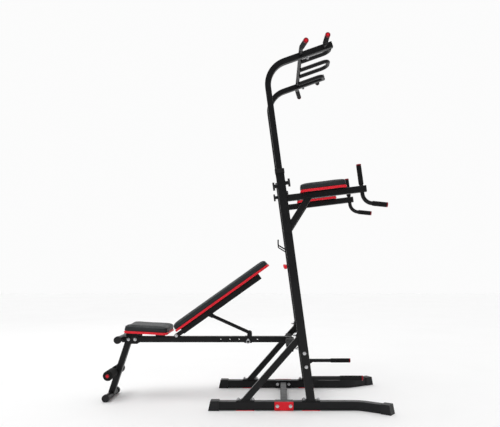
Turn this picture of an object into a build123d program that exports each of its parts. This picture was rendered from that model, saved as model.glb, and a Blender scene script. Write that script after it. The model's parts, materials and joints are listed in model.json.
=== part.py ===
"""Power tower with pull-up bars, dip arms and a detachable incline bench, millimetres.

+X points to the side where a person stands at the dip arms, the bench runs back along -X, +Y is the
tower's right-hand side seen from the bench, and the floor is Z = 0.
"""
import os
from math import cos, radians, sin, sqrt, tan

from build123d import *

os.makedirs("parts", exist_ok=True)

# ---------------------------------------------------------------- driving dimensions: stock
TUBE = 50.0              # square tube of rails and uprights
SMALL_TUBE = 38.0        # square tube of braces, dip arms and bench
SLIDER_TUBE = 35.0       # square tube that telescopes in the uprights
TUBE_WALL = 2.0
TUBE_CORNER = 5.0
BAR_RADIUS = 12.0        # round bars and handles
BAR_WALL = 2.0
GRIP_RADIUS = 14.5       # foam over a round bar
CAP_LENGTH = 8.0         # plastic cap past the end of a foam grip
CAP_EDGE = 2.7
PLATE = 5.0              # welded flanges
BOLT_RADIUS = 5.0
WASHER_RADIUS = 10.0
WASHER_THICKNESS = 2.0
NUT_RADIUS = 8.5
NUT_HEIGHT = 8.0
BOLT_END = 4.0
LONG_BOLT_END = 9.0      # bolts of the brace flanges on the uprights
WELD_OVERLAP = 1.0
RUNNING_GAP = 0.05       # radial, shaft in hole
BODY_GAP = 0.3           # between faces of parts that move past each other

# ---------------------------------------------------------------- driving dimensions: tower
HALF_SPACING = 310.0     # centre plane to rail, upright, brace and dip arm
SIDES = (("left", -1), ("right", 1))
RAIL_BASE = 3.0
RAIL_REAR_X = -174.5
RAIL_BEND_X = 690.0      # where the two straight runs of a rail would meet
RAIL_SPLAY = 33.0
RAIL_SPLAY_LENGTH = 182.8
RAIL_BEND_RADIUS = 150.0
END_CAP = 58.0
END_CAP_LENGTH = 50.0
END_CAP_COVER = 40.0
SOLE_FLARE = 12.0
CROSSMEMBER = 40.0
CROSSMEMBER_X = 244.5
CROSSMEMBER_Z = 24.0
PLATE_LENGTH = 105.0
JOINT_PLATE_LENGTH = 110.0
JOINT_PLATE_THICKNESS = 4.0
JOINT_BOLT_HALF_SPAN = 38.5
FLANGE_BOLT_HALF_SPAN = 42.0

LEAN = 7.76              # uprights lean back towards the bench, degrees
FOOT_X = 402.4           # upright axis at FOOT_Z
FOOT_Z = 50.0
UPRIGHT_TOP_Z = 1406.0
COLLAR_HEIGHT = 22.0
COLLAR_WALL = 3.0
BOSS_RADIUS = 11.0
BOSS_HEIGHT = 10.0
PIN_BOSS_RADIUS = 9.0
PIN_BOSS_HEIGHT = 8.0

BRACE_FOOT_X = 18.0
BRACE_RISE = 48.8        # degrees from the floor
BRACE_LENGTH = 600.0     # before it is trimmed to its flanges
BRACE_FLANGE_X = 19.0
BRACE_TOP_Z = 406.0      # middle of the flange on the upright
HOOK_TUBE = 40.0         # cross tube that carries the bench
HOOK_TUBE_X = 281.0
HOOK_TUBE_Z = 357.0
LOWER_TIE_Z = 294.0      # cross tube between the uprights
LOWER_TIE_BOLT_SPAN = 40.0

PUSH_HANDLE_Z = 186.0
PUSH_HANDLE_END_X = 707.5
PUSH_GRIP_LENGTH = 128.0
GUSSET = (40.0, 27.0)
GUSSET_THICKNESS = 4.0

BARBELL_HOOK_Z = 940.0
BARBELL_HOOK_RADIUS = 4.0
BARBELL_HOOK_REACH = 46.0
BARBELL_HOOK_RISE = (28.0, 60.0)     # its bend and its end above the root
BARBELL_HOOK_ROOT = (8.0, -5.0)      # start of the wire inside the upright's wall
BARBELL_HOOK_BEND = 12.0
PULL_PIN_Z = 842.0
PULL_KNOB_RADIUS = 12.0
PULL_KNOB_END = 50.0     # its end from the upright's axis
REAR_KNOB_Z = 1313.0
FRONT_KNOB_Z = 1325.0
CLAMP_KNOB_RADIUS = 24.0
CLAMP_KNOB_THICKNESS = 12.0
CLAMP_KNOB_OFF_FACE = 15.0
CLAMP_KNOB_LOBES = 6
CLAMP_KNOB_NOTCH = 8.0
KNOB_EDGE = 4.0
SHAFT_TIP_GAP = 1.0      # shaft tip to sliding tube
SHAFT_RADIUS = 4.0

ARM_Z = 1236.0           # dip arm axis where it meets the upright
ARM_SLOPE = 7.0
ARM_LENGTH = 459.0
STAY_FOOT = (294.5, 1094.0)   # X, Z of the diagonal stay's axis
STAY_HEAD = (373.5, 1220.0)
ARM_PAD_START = 78.0
ARM_PAD_LENGTH = 271.0
ARM_PAD_WIDTH = 120.0
ARM_BOARD = 14.0
ARM_CUSHION = 38.0
HANDLE_ALONG_ARM = 438.0
HANDLE_ABOVE_ARM = 139.0
HANDLE_CORNER_DROP = 79.0
HANDLE_REACH = (845.0, 1201.0)   # X, Z of the lower grip's end
HANDLE_BEND_RADIUS = 62.0
HANDLE_GRIP_UP = 112.0
HANDLE_GRIP_FORWARD = 84.0

SLIDER_LOW_Z = 725.0
POST_TOP_Z = 1880.0      # just below the bend
TOP_CORNER_Z = 2000.0    # where the upright axis and the sloping run meet
TOP_SLOPE = 19.6
TOP_REACH = 408.0
TOP_BEND_RADIUS = 143.0
HEIGHT_HOLES = 10
HEIGHT_HOLE_PITCH = 50.0
WIDE_BAR_REACH = 219.5
WIDE_BAR_RAISE = 8.8
WIDE_BAR_STRAIGHT = 410.0
WIDE_BAR_BEND_RADIUS = 50.0
WIDE_BAR_TIP = (362.0, 560.0, 2070.0)
LOOP_DROP = 8.2          # loops lie just below the plane of the sloping bars
LOOP_HALF_WIDTH = 65.0
LOOP_REACH = 411.0
LOOP_BEND_RADIUS = 44.0
SIDE_LOOP_Y = 222.0
SIDE_LOOP_REACH = 397.0
SIDE_LOOP_RADIUS = 42.0
FRONT_GRIP_REACH = 362.0
TOP_GRIP_WIDE = 128.0
TOP_GRIP_FRONT = 92.0
FRONT_GRIP_TIP = (489.0, 454.0, 2140.0)
TOP_BOLT_REACH = 251.5

# ---------------------------------------------------------------- driving dimensions: bench
BEAM_Z = 374.0
PIN_HOLE_Z = 373.0
PIN_HOLE_FIRST_X = -155.5
PIN_HOLE_PITCH = 58.5
PIN_HOLES = 5
PIN_HOLE_SHOWN = 3       # the hole the pin stands in
CROSS_BAR_RADIUS = 19.0
CROSS_BAR_HALF_LENGTH = 130.0
CROSS_BAR_CAP_RADIUS = 23.0
CROSS_BAR_CAP_LENGTH = 26.0
CROSS_BAR_CAP_END = 5.0
FRONT_BAR = (-780.5, 383.0)   # X, Z
FOOT_BAR = (-854.5, 23.0)
LEG_TOP = (-738.5, 374.0)
LEG_BOLT_X = (-738.5, -696.5)
LEG_PLATE = 4.0
LEG_PLATE_X = (-757.0, -677.0)
LEG_PLATE_Z = (346.0, 396.0)
LEG_PLATE_CORNER = 8.0
LEG_CLEARANCE = (200.0, 100.0)       # room cut for the beam between the leg's plates
SADDLE_DEPTH = 8.0       # the leg's end stops this far above the foot bar's axis
ROLLER_AXLE = (-834.5, 166.0)
ROLLER_AXLE_RADIUS = 6.0
AXLE_PLATE = (50.0, 33.0)            # towards the leg and along it
ROLLER_RADIUS = 30.5
ROLLER_INNER_Y = 26.0
ROLLER_OUTER_Y = 152.0
ROLLER_CAP_RADIUS = 12.0
ROLLER_CAP_LENGTH = 6.0
SEAT_FRONT_X = -745.5
SEAT_REAR_X = -474.0
SEAT_MIDDLE_Z = 420.0
SEAT_TILT = 3.0
PAD_WIDTH = 265.0
PAD_CORNER = 28.0
PAD_BOARD = 14.0
PAD_CUSHION = 38.0
PAD_EDGE = 15.0
BACK_PAD_NOSE = 34.0     # rounding of the back cushion's lower end, clear of the seat when upright
SEAT_PAD_NOSE = 28.0
SEAT_FRONT_BRACKET = (-754.5, -659.5)
SEAT_REAR_BRACKET = (-567.5, -514.5)
BRACKET_WALL = 3.0
BACK_PIVOT = (-434.5, 398.0)
BACK_ANGLE = 35.5
BACK_TUBE_START = 46.0
BACK_TUBE_END = 646.0
BACK_PAD_START = 30.0
BACK_PAD_END = 736.0
EAR_RADIUS = 14.0
EAR_LENGTH = 100.0
EAR_THICKNESS = 4.0
EAR_INNER_Y = 19.4
EAR_SPACER_INSET = 2.0
PIVOT_BOSS_RADIUS = 10.0
STRUT_RADIUS = 11.0
STRUT_ALONG_BACK = 243.0
STRUT_BELOW_AXIS = 8.0
STRUT_FOOT = (28.5, 415.0)
FORK_LENGTH = 44.0
FORK_WEB_START = 28.0
FORK_PLATE = 3.0
CARRIAGE_X = (-3.5, 42.5)
CARRIAGE_LUG_X = 12.0
CARRIAGE_TOP_Z = 394.0
CARRIAGE_EAR_RADIUS = 13.0
CARRIAGE_STUB_INNER_Y = 12.0
CARRIAGE_STUB_OUTER_Y = 30.0
CARRIAGE_STUB_END = 2.0
PULL_RING_RADIUS = 11.0
PULL_RING_WIRE = 2.2
PULL_RING_COLLAR = 6.5
PULL_RING_COLLAR_LENGTH = 7.0
HOOK_PLATE = 5.0
HOOK_HALF_WIDTH = 19.0
HOOK_LIP_Z = 350.0
HOOK_PAD = 3.0
HOOK_PAD_HALF_WIDTH = 40.0

# ---------------------------------------------------------------- derived places and directions
RAIL_Z = RAIL_BASE + TUBE / 2
RAIL_TOP = RAIL_BASE + TUBE
BEAM_TOP = BEAM_Z + SMALL_TUBE / 2
BEAM_BOTTOM = BEAM_Z - SMALL_TUBE / 2
UP = (-sin(radians(LEAN)), 0, cos(radians(LEAN)))
FRONT = (cos(radians(LEAN)), 0, sin(radians(LEAN)))
REAR = (-FRONT[0], 0, -FRONT[2])
SLOPE = (cos(radians(TOP_SLOPE)), 0, sin(radians(TOP_SLOPE)))
SLOPE_NORMAL = (-SLOPE[2], 0, SLOPE[0])
ARM = (cos(radians(ARM_SLOPE)), 0, sin(radians(ARM_SLOPE)))
ARM_NORMAL = (-ARM[2], 0, ARM[0])
BACK = (cos(radians(BACK_ANGLE)), 0, sin(radians(BACK_ANGLE)))
BACK_NORMAL = (-BACK[2], 0, BACK[0])
ON_FACE = (Align.CENTER, Align.CENTER, Align.MIN)
UPRIGHT_LIMIT = 0.999    # a direction with a larger Z counts as vertical


def upright_point(z, off_axis=0.0, y=0.0):
    """A point off_axis in front of the uprights' axis, square to it at height z."""
    axis_x = FOOT_X - (z - FOOT_Z) * tan(radians(LEAN))
    return (axis_x + off_axis * FRONT[0], y, z + off_axis * FRONT[2])


def slope_point(reach, drop=0.0, y=0.0):
    """A point reach along the sloping top run from its corner and drop below its axis."""
    corner = upright_point(TOP_CORNER_Z)
    return (corner[0] + reach * SLOPE[0] - drop * SLOPE_NORMAL[0], y,
            corner[2] + reach * SLOPE[2] - drop * SLOPE_NORMAL[2])


def arm_point(along, above=0.0, y=0.0):
    """A point along the dip arm's axis from the upright's front face and above it."""
    root = upright_point(ARM_Z, TUBE / 2)
    return (root[0] + along * ARM[0] + above * ARM_NORMAL[0], y,
            root[2] + along * ARM[2] + above * ARM_NORMAL[2])


def back_point(along, above=0.0, y=0.0):
    """A point along the back frame from its pivot and above its axis."""
    return (BACK_PIVOT[0] + along * BACK[0] + above * BACK_NORMAL[0], y,
            BACK_PIVOT[1] + along * BACK[2] + above * BACK_NORMAL[2])


def square_section(width):
    """Hollow square tube section in the active sketch."""
    RectangleRounded(width, width, TUBE_CORNER)
    RectangleRounded(width - 2 * TUBE_WALL, width - 2 * TUBE_WALL, TUBE_CORNER - TUBE_WALL,
                     mode=Mode.SUBTRACT)


def round_section(radius):
    """Hollow round bar section in the active sketch."""
    Circle(radius)
    Circle(radius - BAR_WALL, mode=Mode.SUBTRACT)


def along(start, end):
    """Plane at start facing end, with its X as near to world Y as the direction allows."""
    direction = (Vector(end) - Vector(start)).normalized()
    across = direction.cross(Vector(0, 0, 1)) if abs(direction.Z) < UPRIGHT_LIMIT else Vector(0, 1, 0)
    return Plane(origin=start, x_dir=across, z_dir=direction)


def run(start, end, radius, inner=0.0, mode=Mode.ADD):
    """Round rod or sleeve from start to end in the active part."""
    with BuildSketch(along(start, end)) as section:
        Circle(radius)
        if inner > 0:
            Circle(inner, mode=Mode.SUBTRACT)
    extrude(section.sketch, amount=(Vector(end) - Vector(start)).length, mode=mode)


def square_run(start, end, width, wall=True, mode=Mode.ADD):
    """Square tube from start to end in the active part, with two sides parallel to world Y."""
    with BuildSketch(along(start, end)) as section:
        if wall:
            square_section(width)
        else:
            RectangleRounded(width, width, TUBE_CORNER)
    extrude(section.sketch, amount=(Vector(end) - Vector(start)).length, mode=mode)


def grip_cap(start, end):
    """Domed plastic cap past the end of a grip that runs from start to end."""
    direction = (Vector(end) - Vector(start)).normalized()
    with Locations(Plane(origin=end, z_dir=direction)):
        cap = Cylinder(GRIP_RADIUS, CAP_LENGTH, align=ON_FACE)
    fillet(cap.faces().sort_by(Axis(end, direction))[-1].edges(), CAP_EDGE)


def bolt(plane, grip=PLATE, end=BOLT_END):
    """Bolt end with washer and nut standing on the plane, its shank going grip below it."""
    with Locations(plane):
        Cylinder(WASHER_RADIUS, WASHER_THICKNESS, align=ON_FACE)
    with Locations(plane.offset(-grip)):
        Cylinder(BOLT_RADIUS, grip + WASHER_THICKNESS + NUT_HEIGHT + end, align=ON_FACE)
    with BuildSketch(plane.offset(WASHER_THICKNESS)) as nut:
        RegularPolygon(NUT_RADIUS, 6)
    extrude(nut.sketch, amount=NUT_HEIGHT)


def round_over(edge, inward, up, radius):
    """Rounds the active part's edge along Y through a point, between the inward and up directions."""
    across = Vector(inward).cross(Vector(up))
    with BuildSketch(Plane(origin=edge, x_dir=inward, z_dir=across)) as waste:
        Rectangle(radius, radius, align=(Align.MIN, Align.MAX))
        with Locations((radius, -radius)):
            Circle(radius, mode=Mode.SUBTRACT)
    extrude(waste.sketch, amount=PAD_WIDTH, both=True, mode=Mode.SUBTRACT)


def save(builder, name):
    """Label the finished sub-part and write its STEP file."""
    builder.part.label = name
    export_step(builder.part, f"parts/{name}.step")


def save_group(solids, name):
    """Save separate solids of one kind as a single sub-part."""
    with BuildPart() as group:
        for solid in solids:
            add(solid)
    save(group, name)


def moved(point, direction, distance):
    """The point moved by distance along a unit direction."""
    return tuple(p + distance * d for p, d in zip(point, direction))


# ---------------------------------------------------------------- base
def rail_points(side):
    """Centre line corners of a rail: rear end, splay corner and front end."""
    y = side * HALF_SPACING
    splay = radians(RAIL_SPLAY)
    tip = (RAIL_BEND_X + RAIL_SPLAY_LENGTH * cos(splay), y + side * RAIL_SPLAY_LENGTH * sin(splay))
    return (RAIL_REAR_X, y), (RAIL_BEND_X, y), tip


for name, side in SIDES:
    with BuildPart() as base_rail:
        with BuildLine(Plane.XY.offset(RAIL_Z)) as rail_path:
            FilletPolyline(*rail_points(side), radius=RAIL_BEND_RADIUS)
        with BuildSketch(Plane(origin=rail_path.line @ 0, x_dir=(0, 1, 0), z_dir=(1, 0, 0))):
            square_section(TUBE)
        sweep()
    save(base_rail, f"base_rail_{name}")


def rail_cap(end, inward):
    """Plastic end cap over a rail's end, with a sole that flares out to the floor."""
    outward = (-inward[0], -inward[1], 0)
    lateral = (-inward[1], inward[0], 0)
    cover = END_CAP_LENGTH - END_CAP_COVER
    mouth = Plane(origin=(*end, RAIL_Z), x_dir=lateral, z_dir=inward).offset(-cover)
    half = END_CAP / 2
    with BuildSketch(Plane(origin=(*end, 0), x_dir=outward, z_dir=lateral)) as profile:
        with BuildLine():
            Polyline((-END_CAP_COVER, 0), (cover + SOLE_FLARE, 0), (cover + SOLE_FLARE, RAIL_BASE),
                     (cover, RAIL_Z + half), (-END_CAP_COVER, RAIL_Z + half), close=True)
        make_face()
    extrude(profile.sketch, amount=half, both=True)
    with BuildSketch(mouth.offset(cover)) as socket:
        RectangleRounded(TUBE, TUBE, TUBE_CORNER)
    extrude(socket.sketch, amount=END_CAP_LENGTH, mode=Mode.SUBTRACT)


with BuildPart() as rail_end_caps:
    for name, side in SIDES:
        rear, corner, tip = rail_points(side)
        splay = radians(RAIL_SPLAY)
        rail_cap(rear, (1, 0, 0))
        rail_cap(tip, (-cos(splay), -side * sin(splay), 0))
save(rail_end_caps, "rail_end_caps")

with BuildPart() as crossmember:
    inner_face = HALF_SPACING - TUBE / 2
    square_run((CROSSMEMBER_X, PLATE - inner_face, CROSSMEMBER_Z),
               (CROSSMEMBER_X, inner_face - PLATE, CROSSMEMBER_Z), CROSSMEMBER)
    for name, side in SIDES:
        with Locations((CROSSMEMBER_X, side * (inner_face - PLATE / 2), RAIL_Z)):
            Box(PLATE_LENGTH, PLATE, TUBE)
save(crossmember, "crossmember")

with BuildPart() as red_plates:
    outer_y = HALF_SPACING + TUBE / 2 + JOINT_PLATE_THICKNESS / 2
    for name, side in SIDES:
        with Locations((CROSSMEMBER_X, side * outer_y, RAIL_Z)):
            Box(JOINT_PLATE_LENGTH, JOINT_PLATE_THICKNESS, TUBE)
        with Locations((BRACE_FLANGE_X, side * HALF_SPACING, RAIL_BASE / 2),
                       (FOOT_X, side * HALF_SPACING, RAIL_BASE / 2)):
            Box(PLATE_LENGTH, TUBE, RAIL_BASE)
save(red_plates, "red_plates")


def foot_flange(x, y):
    """Bolted flange lying on a rail."""
    with Locations((x, y, RAIL_TOP + PLATE / 2)):
        Box(PLATE_LENGTH, TUBE, PLATE)
    with Locations((x - FLANGE_BOLT_HALF_SPAN, y, RAIL_TOP), (x + FLANGE_BOLT_HALF_SPAN, y, RAIL_TOP)):
        Cylinder(BOLT_RADIUS, PLATE, align=ON_FACE, mode=Mode.SUBTRACT)


# ---------------------------------------------------------------- uprights
for name, side in SIDES:
    y = side * HALF_SPACING
    with BuildPart() as upright:
        square_run(upright_point(0, y=y), upright_point(UPRIGHT_TOP_Z, y=y), TUBE)
        split(bisect_by=Plane.XY.offset(RAIL_TOP + PLATE), keep=Keep.TOP)
        foot_flange(FOOT_X, y)
        for knob_z, facing, boss_radius, boss_height in (
                (REAR_KNOB_Z, REAR, BOSS_RADIUS, BOSS_HEIGHT),
                (FRONT_KNOB_Z, FRONT, BOSS_RADIUS, BOSS_HEIGHT),
                (PULL_PIN_Z, REAR, PIN_BOSS_RADIUS, PIN_BOSS_HEIGHT)):
            face = Plane(origin=upright_point(knob_z, y=y), z_dir=facing).offset(TUBE / 2)
            with Locations(face):
                Cylinder(boss_radius, boss_height, align=ON_FACE)
            with Locations(face.offset(-2 * TUBE_WALL)):
                Cylinder(SHAFT_RADIUS + RUNNING_GAP, 2 * TUBE_WALL + boss_height, align=ON_FACE,
                         mode=Mode.SUBTRACT)
    save(upright, f"upright_{name}")

with BuildPart() as upright_collars:
    for name, side in SIDES:
        top = Plane(origin=upright_point(UPRIGHT_TOP_Z, y=side * HALF_SPACING), x_dir=(0, 1, 0), z_dir=UP)
        bore = SLIDER_TUBE + 2 * BODY_GAP
        with BuildSketch(top):
            RectangleRounded(TUBE + 2 * COLLAR_WALL, TUBE + 2 * COLLAR_WALL, TUBE_CORNER + COLLAR_WALL)
        extrude(amount=COLLAR_WALL)
        with BuildSketch(top.offset(-COLLAR_HEIGHT)):
            RectangleRounded(TUBE + 2 * COLLAR_WALL, TUBE + 2 * COLLAR_WALL, TUBE_CORNER + COLLAR_WALL)
            RectangleRounded(TUBE, TUBE, TUBE_CORNER, mode=Mode.SUBTRACT)
        extrude(amount=COLLAR_HEIGHT)
        with BuildSketch(top.offset(-2 * COLLAR_HEIGHT)):
            RectangleRounded(TUBE - 2 * TUBE_WALL, TUBE - 2 * TUBE_WALL, TUBE_CORNER - TUBE_WALL)
        extrude(amount=2 * COLLAR_HEIGHT)
        with BuildSketch(top.offset(-2 * COLLAR_HEIGHT)):
            RectangleRounded(bore, bore, TUBE_CORNER)
        extrude(amount=2 * COLLAR_HEIGHT + COLLAR_WALL, mode=Mode.SUBTRACT)
save(upright_collars, "upright_collars")

brace_direction = (cos(radians(BRACE_RISE)), 0, sin(radians(BRACE_RISE)))
brace_flange_back = Plane(origin=upright_point(BRACE_TOP_Z), z_dir=REAR).offset(TUBE / 2 + PLATE)
for name, side in SIDES:
    y = side * HALF_SPACING
    with BuildPart() as brace:
        foot = (BRACE_FOOT_X, y, RAIL_TOP + PLATE)
        square_run(moved(foot, brace_direction, -TUBE), moved(foot, brace_direction, BRACE_LENGTH),
                   SMALL_TUBE)
        split(bisect_by=Plane.XY.offset(RAIL_TOP + PLATE), keep=Keep.TOP)
        split(bisect_by=brace_flange_back, keep=Keep.TOP)
        foot_flange(BRACE_FLANGE_X, y)
        flange = Plane(origin=upright_point(BRACE_TOP_Z, y=y), x_dir=(0, 1, 0), z_dir=REAR)
        with BuildSketch(flange.offset(TUBE / 2)):
            Rectangle(TUBE, PLATE_LENGTH)
            with GridLocations(0, 2 * FLANGE_BOLT_HALF_SPAN, 1, 2):
                Circle(BOLT_RADIUS, mode=Mode.SUBTRACT)
        extrude(amount=PLATE)
    save(brace, f"brace_{name}")

with BuildPart() as tower_bolts:
    for name, side in SIDES:
        y = side * HALF_SPACING
        for offset_x in (-JOINT_BOLT_HALF_SPAN, JOINT_BOLT_HALF_SPAN):
            outer = (CROSSMEMBER_X + offset_x, y + side * (TUBE / 2 + JOINT_PLATE_THICKNESS), RAIL_Z)
            bolt(Plane(origin=outer, z_dir=(0, side, 0)), 0)
            inner = (CROSSMEMBER_X + offset_x, y - side * (TUBE / 2 + PLATE), RAIL_Z)
            bolt(Plane(origin=inner, z_dir=(0, -side, 0)), 0)
        for foot_x in (BRACE_FLANGE_X, FOOT_X):
            for offset_x in (-FLANGE_BOLT_HALF_SPAN, FLANGE_BOLT_HALF_SPAN):
                bolt(Plane(origin=(foot_x + offset_x, y, RAIL_TOP + PLATE)))
        for offset in (-FLANGE_BOLT_HALF_SPAN, FLANGE_BOLT_HALF_SPAN):
            centre = moved(upright_point(BRACE_TOP_Z, -(TUBE / 2 + PLATE), y), UP, offset)
            bolt(Plane(origin=centre, x_dir=(0, 1, 0), z_dir=REAR), end=LONG_BOLT_END)
        for offset in (-LOWER_TIE_BOLT_SPAN, LOWER_TIE_BOLT_SPAN):
            centre = moved(upright_point(LOWER_TIE_Z, 0, y + side * TUBE / 2), UP, offset)
            bolt(Plane(origin=centre, z_dir=(0, side, 0)), 0)
save(tower_bolts, "tower_bolts")

with BuildPart() as brace_cross_tube:
    inner_y = HALF_SPACING - SMALL_TUBE / 2
    square_run((HOOK_TUBE_X, -inner_y, HOOK_TUBE_Z), (HOOK_TUBE_X, inner_y, HOOK_TUBE_Z), HOOK_TUBE)
save(brace_cross_tube, "brace_cross_tube")

with BuildPart() as hook_pad:
    half = HOOK_TUBE / 2
    with BuildSketch(Plane.XZ.offset(-HOOK_PAD_HALF_WIDTH)):
        with Locations((HOOK_TUBE_X, HOOK_TUBE_Z)):
            RectangleRounded(HOOK_TUBE + 2 * HOOK_PAD, HOOK_TUBE + 2 * HOOK_PAD, TUBE_CORNER + HOOK_PAD)
            RectangleRounded(HOOK_TUBE, HOOK_TUBE, TUBE_CORNER, mode=Mode.SUBTRACT)
        with Locations((HOOK_TUBE_X, HOOK_TUBE_Z - half)):
            Rectangle(HOOK_TUBE - 2 * TUBE_CORNER, half, mode=Mode.SUBTRACT)
    extrude(amount=2 * HOOK_PAD_HALF_WIDTH)
save(hook_pad, "hook_pad")

with BuildPart() as upright_cross_tube:
    inner_y = HALF_SPACING - TUBE / 2
    middle = upright_point(LOWER_TIE_Z)
    tie_plane = Plane(origin=middle, x_dir=FRONT, z_dir=(0, -1, 0))
    with BuildSketch(tie_plane.offset(PLATE - inner_y)):
        square_section(SMALL_TUBE)
    extrude(amount=2 * (inner_y - PLATE))
    for offset in (-inner_y, inner_y - PLATE):
        with BuildSketch(tie_plane.offset(offset)):
            Rectangle(SMALL_TUBE, PLATE_LENGTH)
        extrude(amount=PLATE)
save(upright_cross_tube, "upright_cross_tube")

# ---------------------------------------------------------------- push-up handles, hooks
push_root_x = upright_point(PUSH_HANDLE_Z, TUBE / 2)[0]
front_face = Plane(origin=upright_point(PUSH_HANDLE_Z, TUBE / 2), z_dir=FRONT)
push_grip_x = PUSH_HANDLE_END_X - CAP_LENGTH
gusset_top = PUSH_HANDLE_Z - BAR_RADIUS + WELD_OVERLAP
gusset_low = PUSH_HANDLE_Z - BAR_RADIUS - GUSSET[1]
push_handles = []
for name, side in SIDES:
    y = side * HALF_SPACING
    with BuildPart() as push_handle:
        run((push_root_x - TUBE / 2, y, PUSH_HANDLE_Z), (push_grip_x, y, PUSH_HANDLE_Z),
            BAR_RADIUS, BAR_RADIUS - BAR_WALL)
        with BuildSketch(Plane.XZ.offset(-y)) as web:
            with BuildLine():
                Polyline((push_root_x - TUBE, gusset_top), (push_root_x + GUSSET[0], gusset_top),
                         (push_root_x, gusset_low), (push_root_x - TUBE, gusset_low), close=True)
            make_face()
        extrude(web.sketch, amount=GUSSET_THICKNESS / 2, both=True)
        split(bisect_by=front_face, keep=Keep.TOP)
    push_handles.append(push_handle.part)
save_group(push_handles, "push_handles")

barbell_hooks = []
for name, side in SIDES:
    root = upright_point(BARBELL_HOOK_Z, -TUBE / 2, side * HALF_SPACING)
    reach_x = root[0] - BARBELL_HOOK_REACH
    with BuildPart() as barbell_hook:
        with BuildLine(Plane.XZ.offset(-side * HALF_SPACING)) as wire_path:
            FilletPolyline((root[0] + BARBELL_HOOK_ROOT[0], root[2] + BARBELL_HOOK_ROOT[1]),
                           (reach_x, root[2] + BARBELL_HOOK_RISE[0]),
                           (reach_x, root[2] + BARBELL_HOOK_RISE[1]), radius=BARBELL_HOOK_BEND)
        with BuildSketch(Plane(origin=wire_path.line @ 0, z_dir=wire_path.line % 0)):
            Circle(BARBELL_HOOK_RADIUS)
        sweep()
        split(bisect_by=Plane(origin=root, z_dir=REAR), keep=Keep.TOP)
    barbell_hooks.append(barbell_hook.part)
save_group(barbell_hooks, "barbell_hooks")

# ---------------------------------------------------------------- dip arms
handle_top = moved(arm_point(HANDLE_ALONG_ARM), UP, HANDLE_ABOVE_ARM)
handle_corner = moved(arm_point(HANDLE_ALONG_ARM), UP, -HANDLE_CORNER_DROP)
arm_face = Plane(origin=upright_point(ARM_Z, TUBE / 2), z_dir=FRONT)
stay_direction = (Vector(STAY_HEAD[0], 0, STAY_HEAD[1]) - Vector(STAY_FOOT[0], 0, STAY_FOOT[1])).normalized()
for name, side in SIDES:
    y = side * HALF_SPACING
    with BuildPart() as dip_arm:
        square_run((STAY_FOOT[0] - TUBE * stay_direction.X, y, STAY_FOOT[1] - TUBE * stay_direction.Z),
                   (STAY_HEAD[0] + TUBE * stay_direction.X, y, STAY_HEAD[1] + TUBE * stay_direction.Z),
                   SMALL_TUBE)
        split(bisect_by=Plane(origin=arm_point(0, -SMALL_TUBE / 2), z_dir=ARM_NORMAL), keep=Keep.BOTTOM)
        square_run(arm_point(-TUBE / 2, y=y), arm_point(ARM_LENGTH, y=y), SMALL_TUBE)
        split(bisect_by=arm_face, keep=Keep.TOP)
        run(moved(handle_top, (0, side, 0), HALF_SPACING), moved(handle_corner, (0, side, 0), HALF_SPACING),
            BAR_RADIUS, mode=Mode.SUBTRACT)
    save(dip_arm, f"dip_arm_{name}")

with BuildPart() as arm_end_caps:
    for name, side in SIDES:
        end = arm_point(ARM_LENGTH, y=side * HALF_SPACING)
        with BuildSketch(Plane(origin=end, x_dir=(0, 1, 0), z_dir=ARM)):
            RectangleRounded(SMALL_TUBE, SMALL_TUBE, TUBE_CORNER)
        extrude(amount=PLATE)
save(arm_end_caps, "arm_end_caps")

pad_middle = ARM_PAD_START + ARM_PAD_LENGTH / 2
with BuildPart() as arm_boards:
    for name, side in SIDES:
        base = arm_point(pad_middle, SMALL_TUBE / 2, side * HALF_SPACING)
        with BuildSketch(Plane(origin=base, x_dir=ARM, z_dir=ARM_NORMAL)):
            RectangleRounded(ARM_PAD_LENGTH, ARM_PAD_WIDTH, PAD_CORNER)
        extrude(amount=ARM_BOARD)
save(arm_boards, "arm_boards")

for name, side in SIDES:
    with BuildPart() as arm_cushion:
        base = arm_point(pad_middle, SMALL_TUBE / 2 + ARM_BOARD, side * HALF_SPACING)
        with BuildSketch(Plane(origin=base, x_dir=ARM, z_dir=ARM_NORMAL)):
            RectangleRounded(ARM_PAD_LENGTH, ARM_PAD_WIDTH, PAD_CORNER)
        extrude(amount=ARM_CUSHION)
        fillet(arm_cushion.faces().sort_by(Axis(base, ARM_NORMAL))[-1].edges(), PAD_EDGE)
    save(arm_cushion, f"arm_cushion_{name}")

lower_side = (HANDLE_REACH[0] - handle_corner[0], HANDLE_REACH[1] - handle_corner[2])
lower_length = sqrt(lower_side[0] ** 2 + lower_side[1] ** 2)
lower_direction = (lower_side[0] / lower_length, 0, lower_side[1] / lower_length)
arm_handles = []
for name, side in SIDES:
    with BuildPart() as arm_handle:
        with BuildLine(Plane.XZ.offset(-side * HALF_SPACING)) as handle_path:
            FilletPolyline((handle_top[0], handle_top[2]), (handle_corner[0], handle_corner[2]),
                           HANDLE_REACH, radius=HANDLE_BEND_RADIUS)
        with BuildSketch(Plane(origin=handle_path.line @ 0, z_dir=handle_path.line % 0)):
            round_section(BAR_RADIUS)
        sweep()
    arm_handles.append(arm_handle.part)
save_group(arm_handles, "arm_handles")

handle_ends = []
for name, side in SIDES:
    top_end = moved(handle_top, (0, side, 0), HALF_SPACING)
    low_end = (HANDLE_REACH[0], side * HALF_SPACING, HANDLE_REACH[1])
    handle_ends.append((moved(top_end, UP, -HANDLE_GRIP_UP), top_end))
    handle_ends.append((moved(low_end, lower_direction, -HANDLE_GRIP_FORWARD), low_end))

with BuildPart() as foam_grips:
    for start, end in handle_ends:
        run(start, end, GRIP_RADIUS, BAR_RADIUS)
    for name, side in SIDES:
        y = side * HALF_SPACING
        run((push_grip_x - PUSH_GRIP_LENGTH, y, PUSH_HANDLE_Z), (push_grip_x, y, PUSH_HANDLE_Z),
            GRIP_RADIUS, BAR_RADIUS)
save(foam_grips, "foam_grips")

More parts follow.
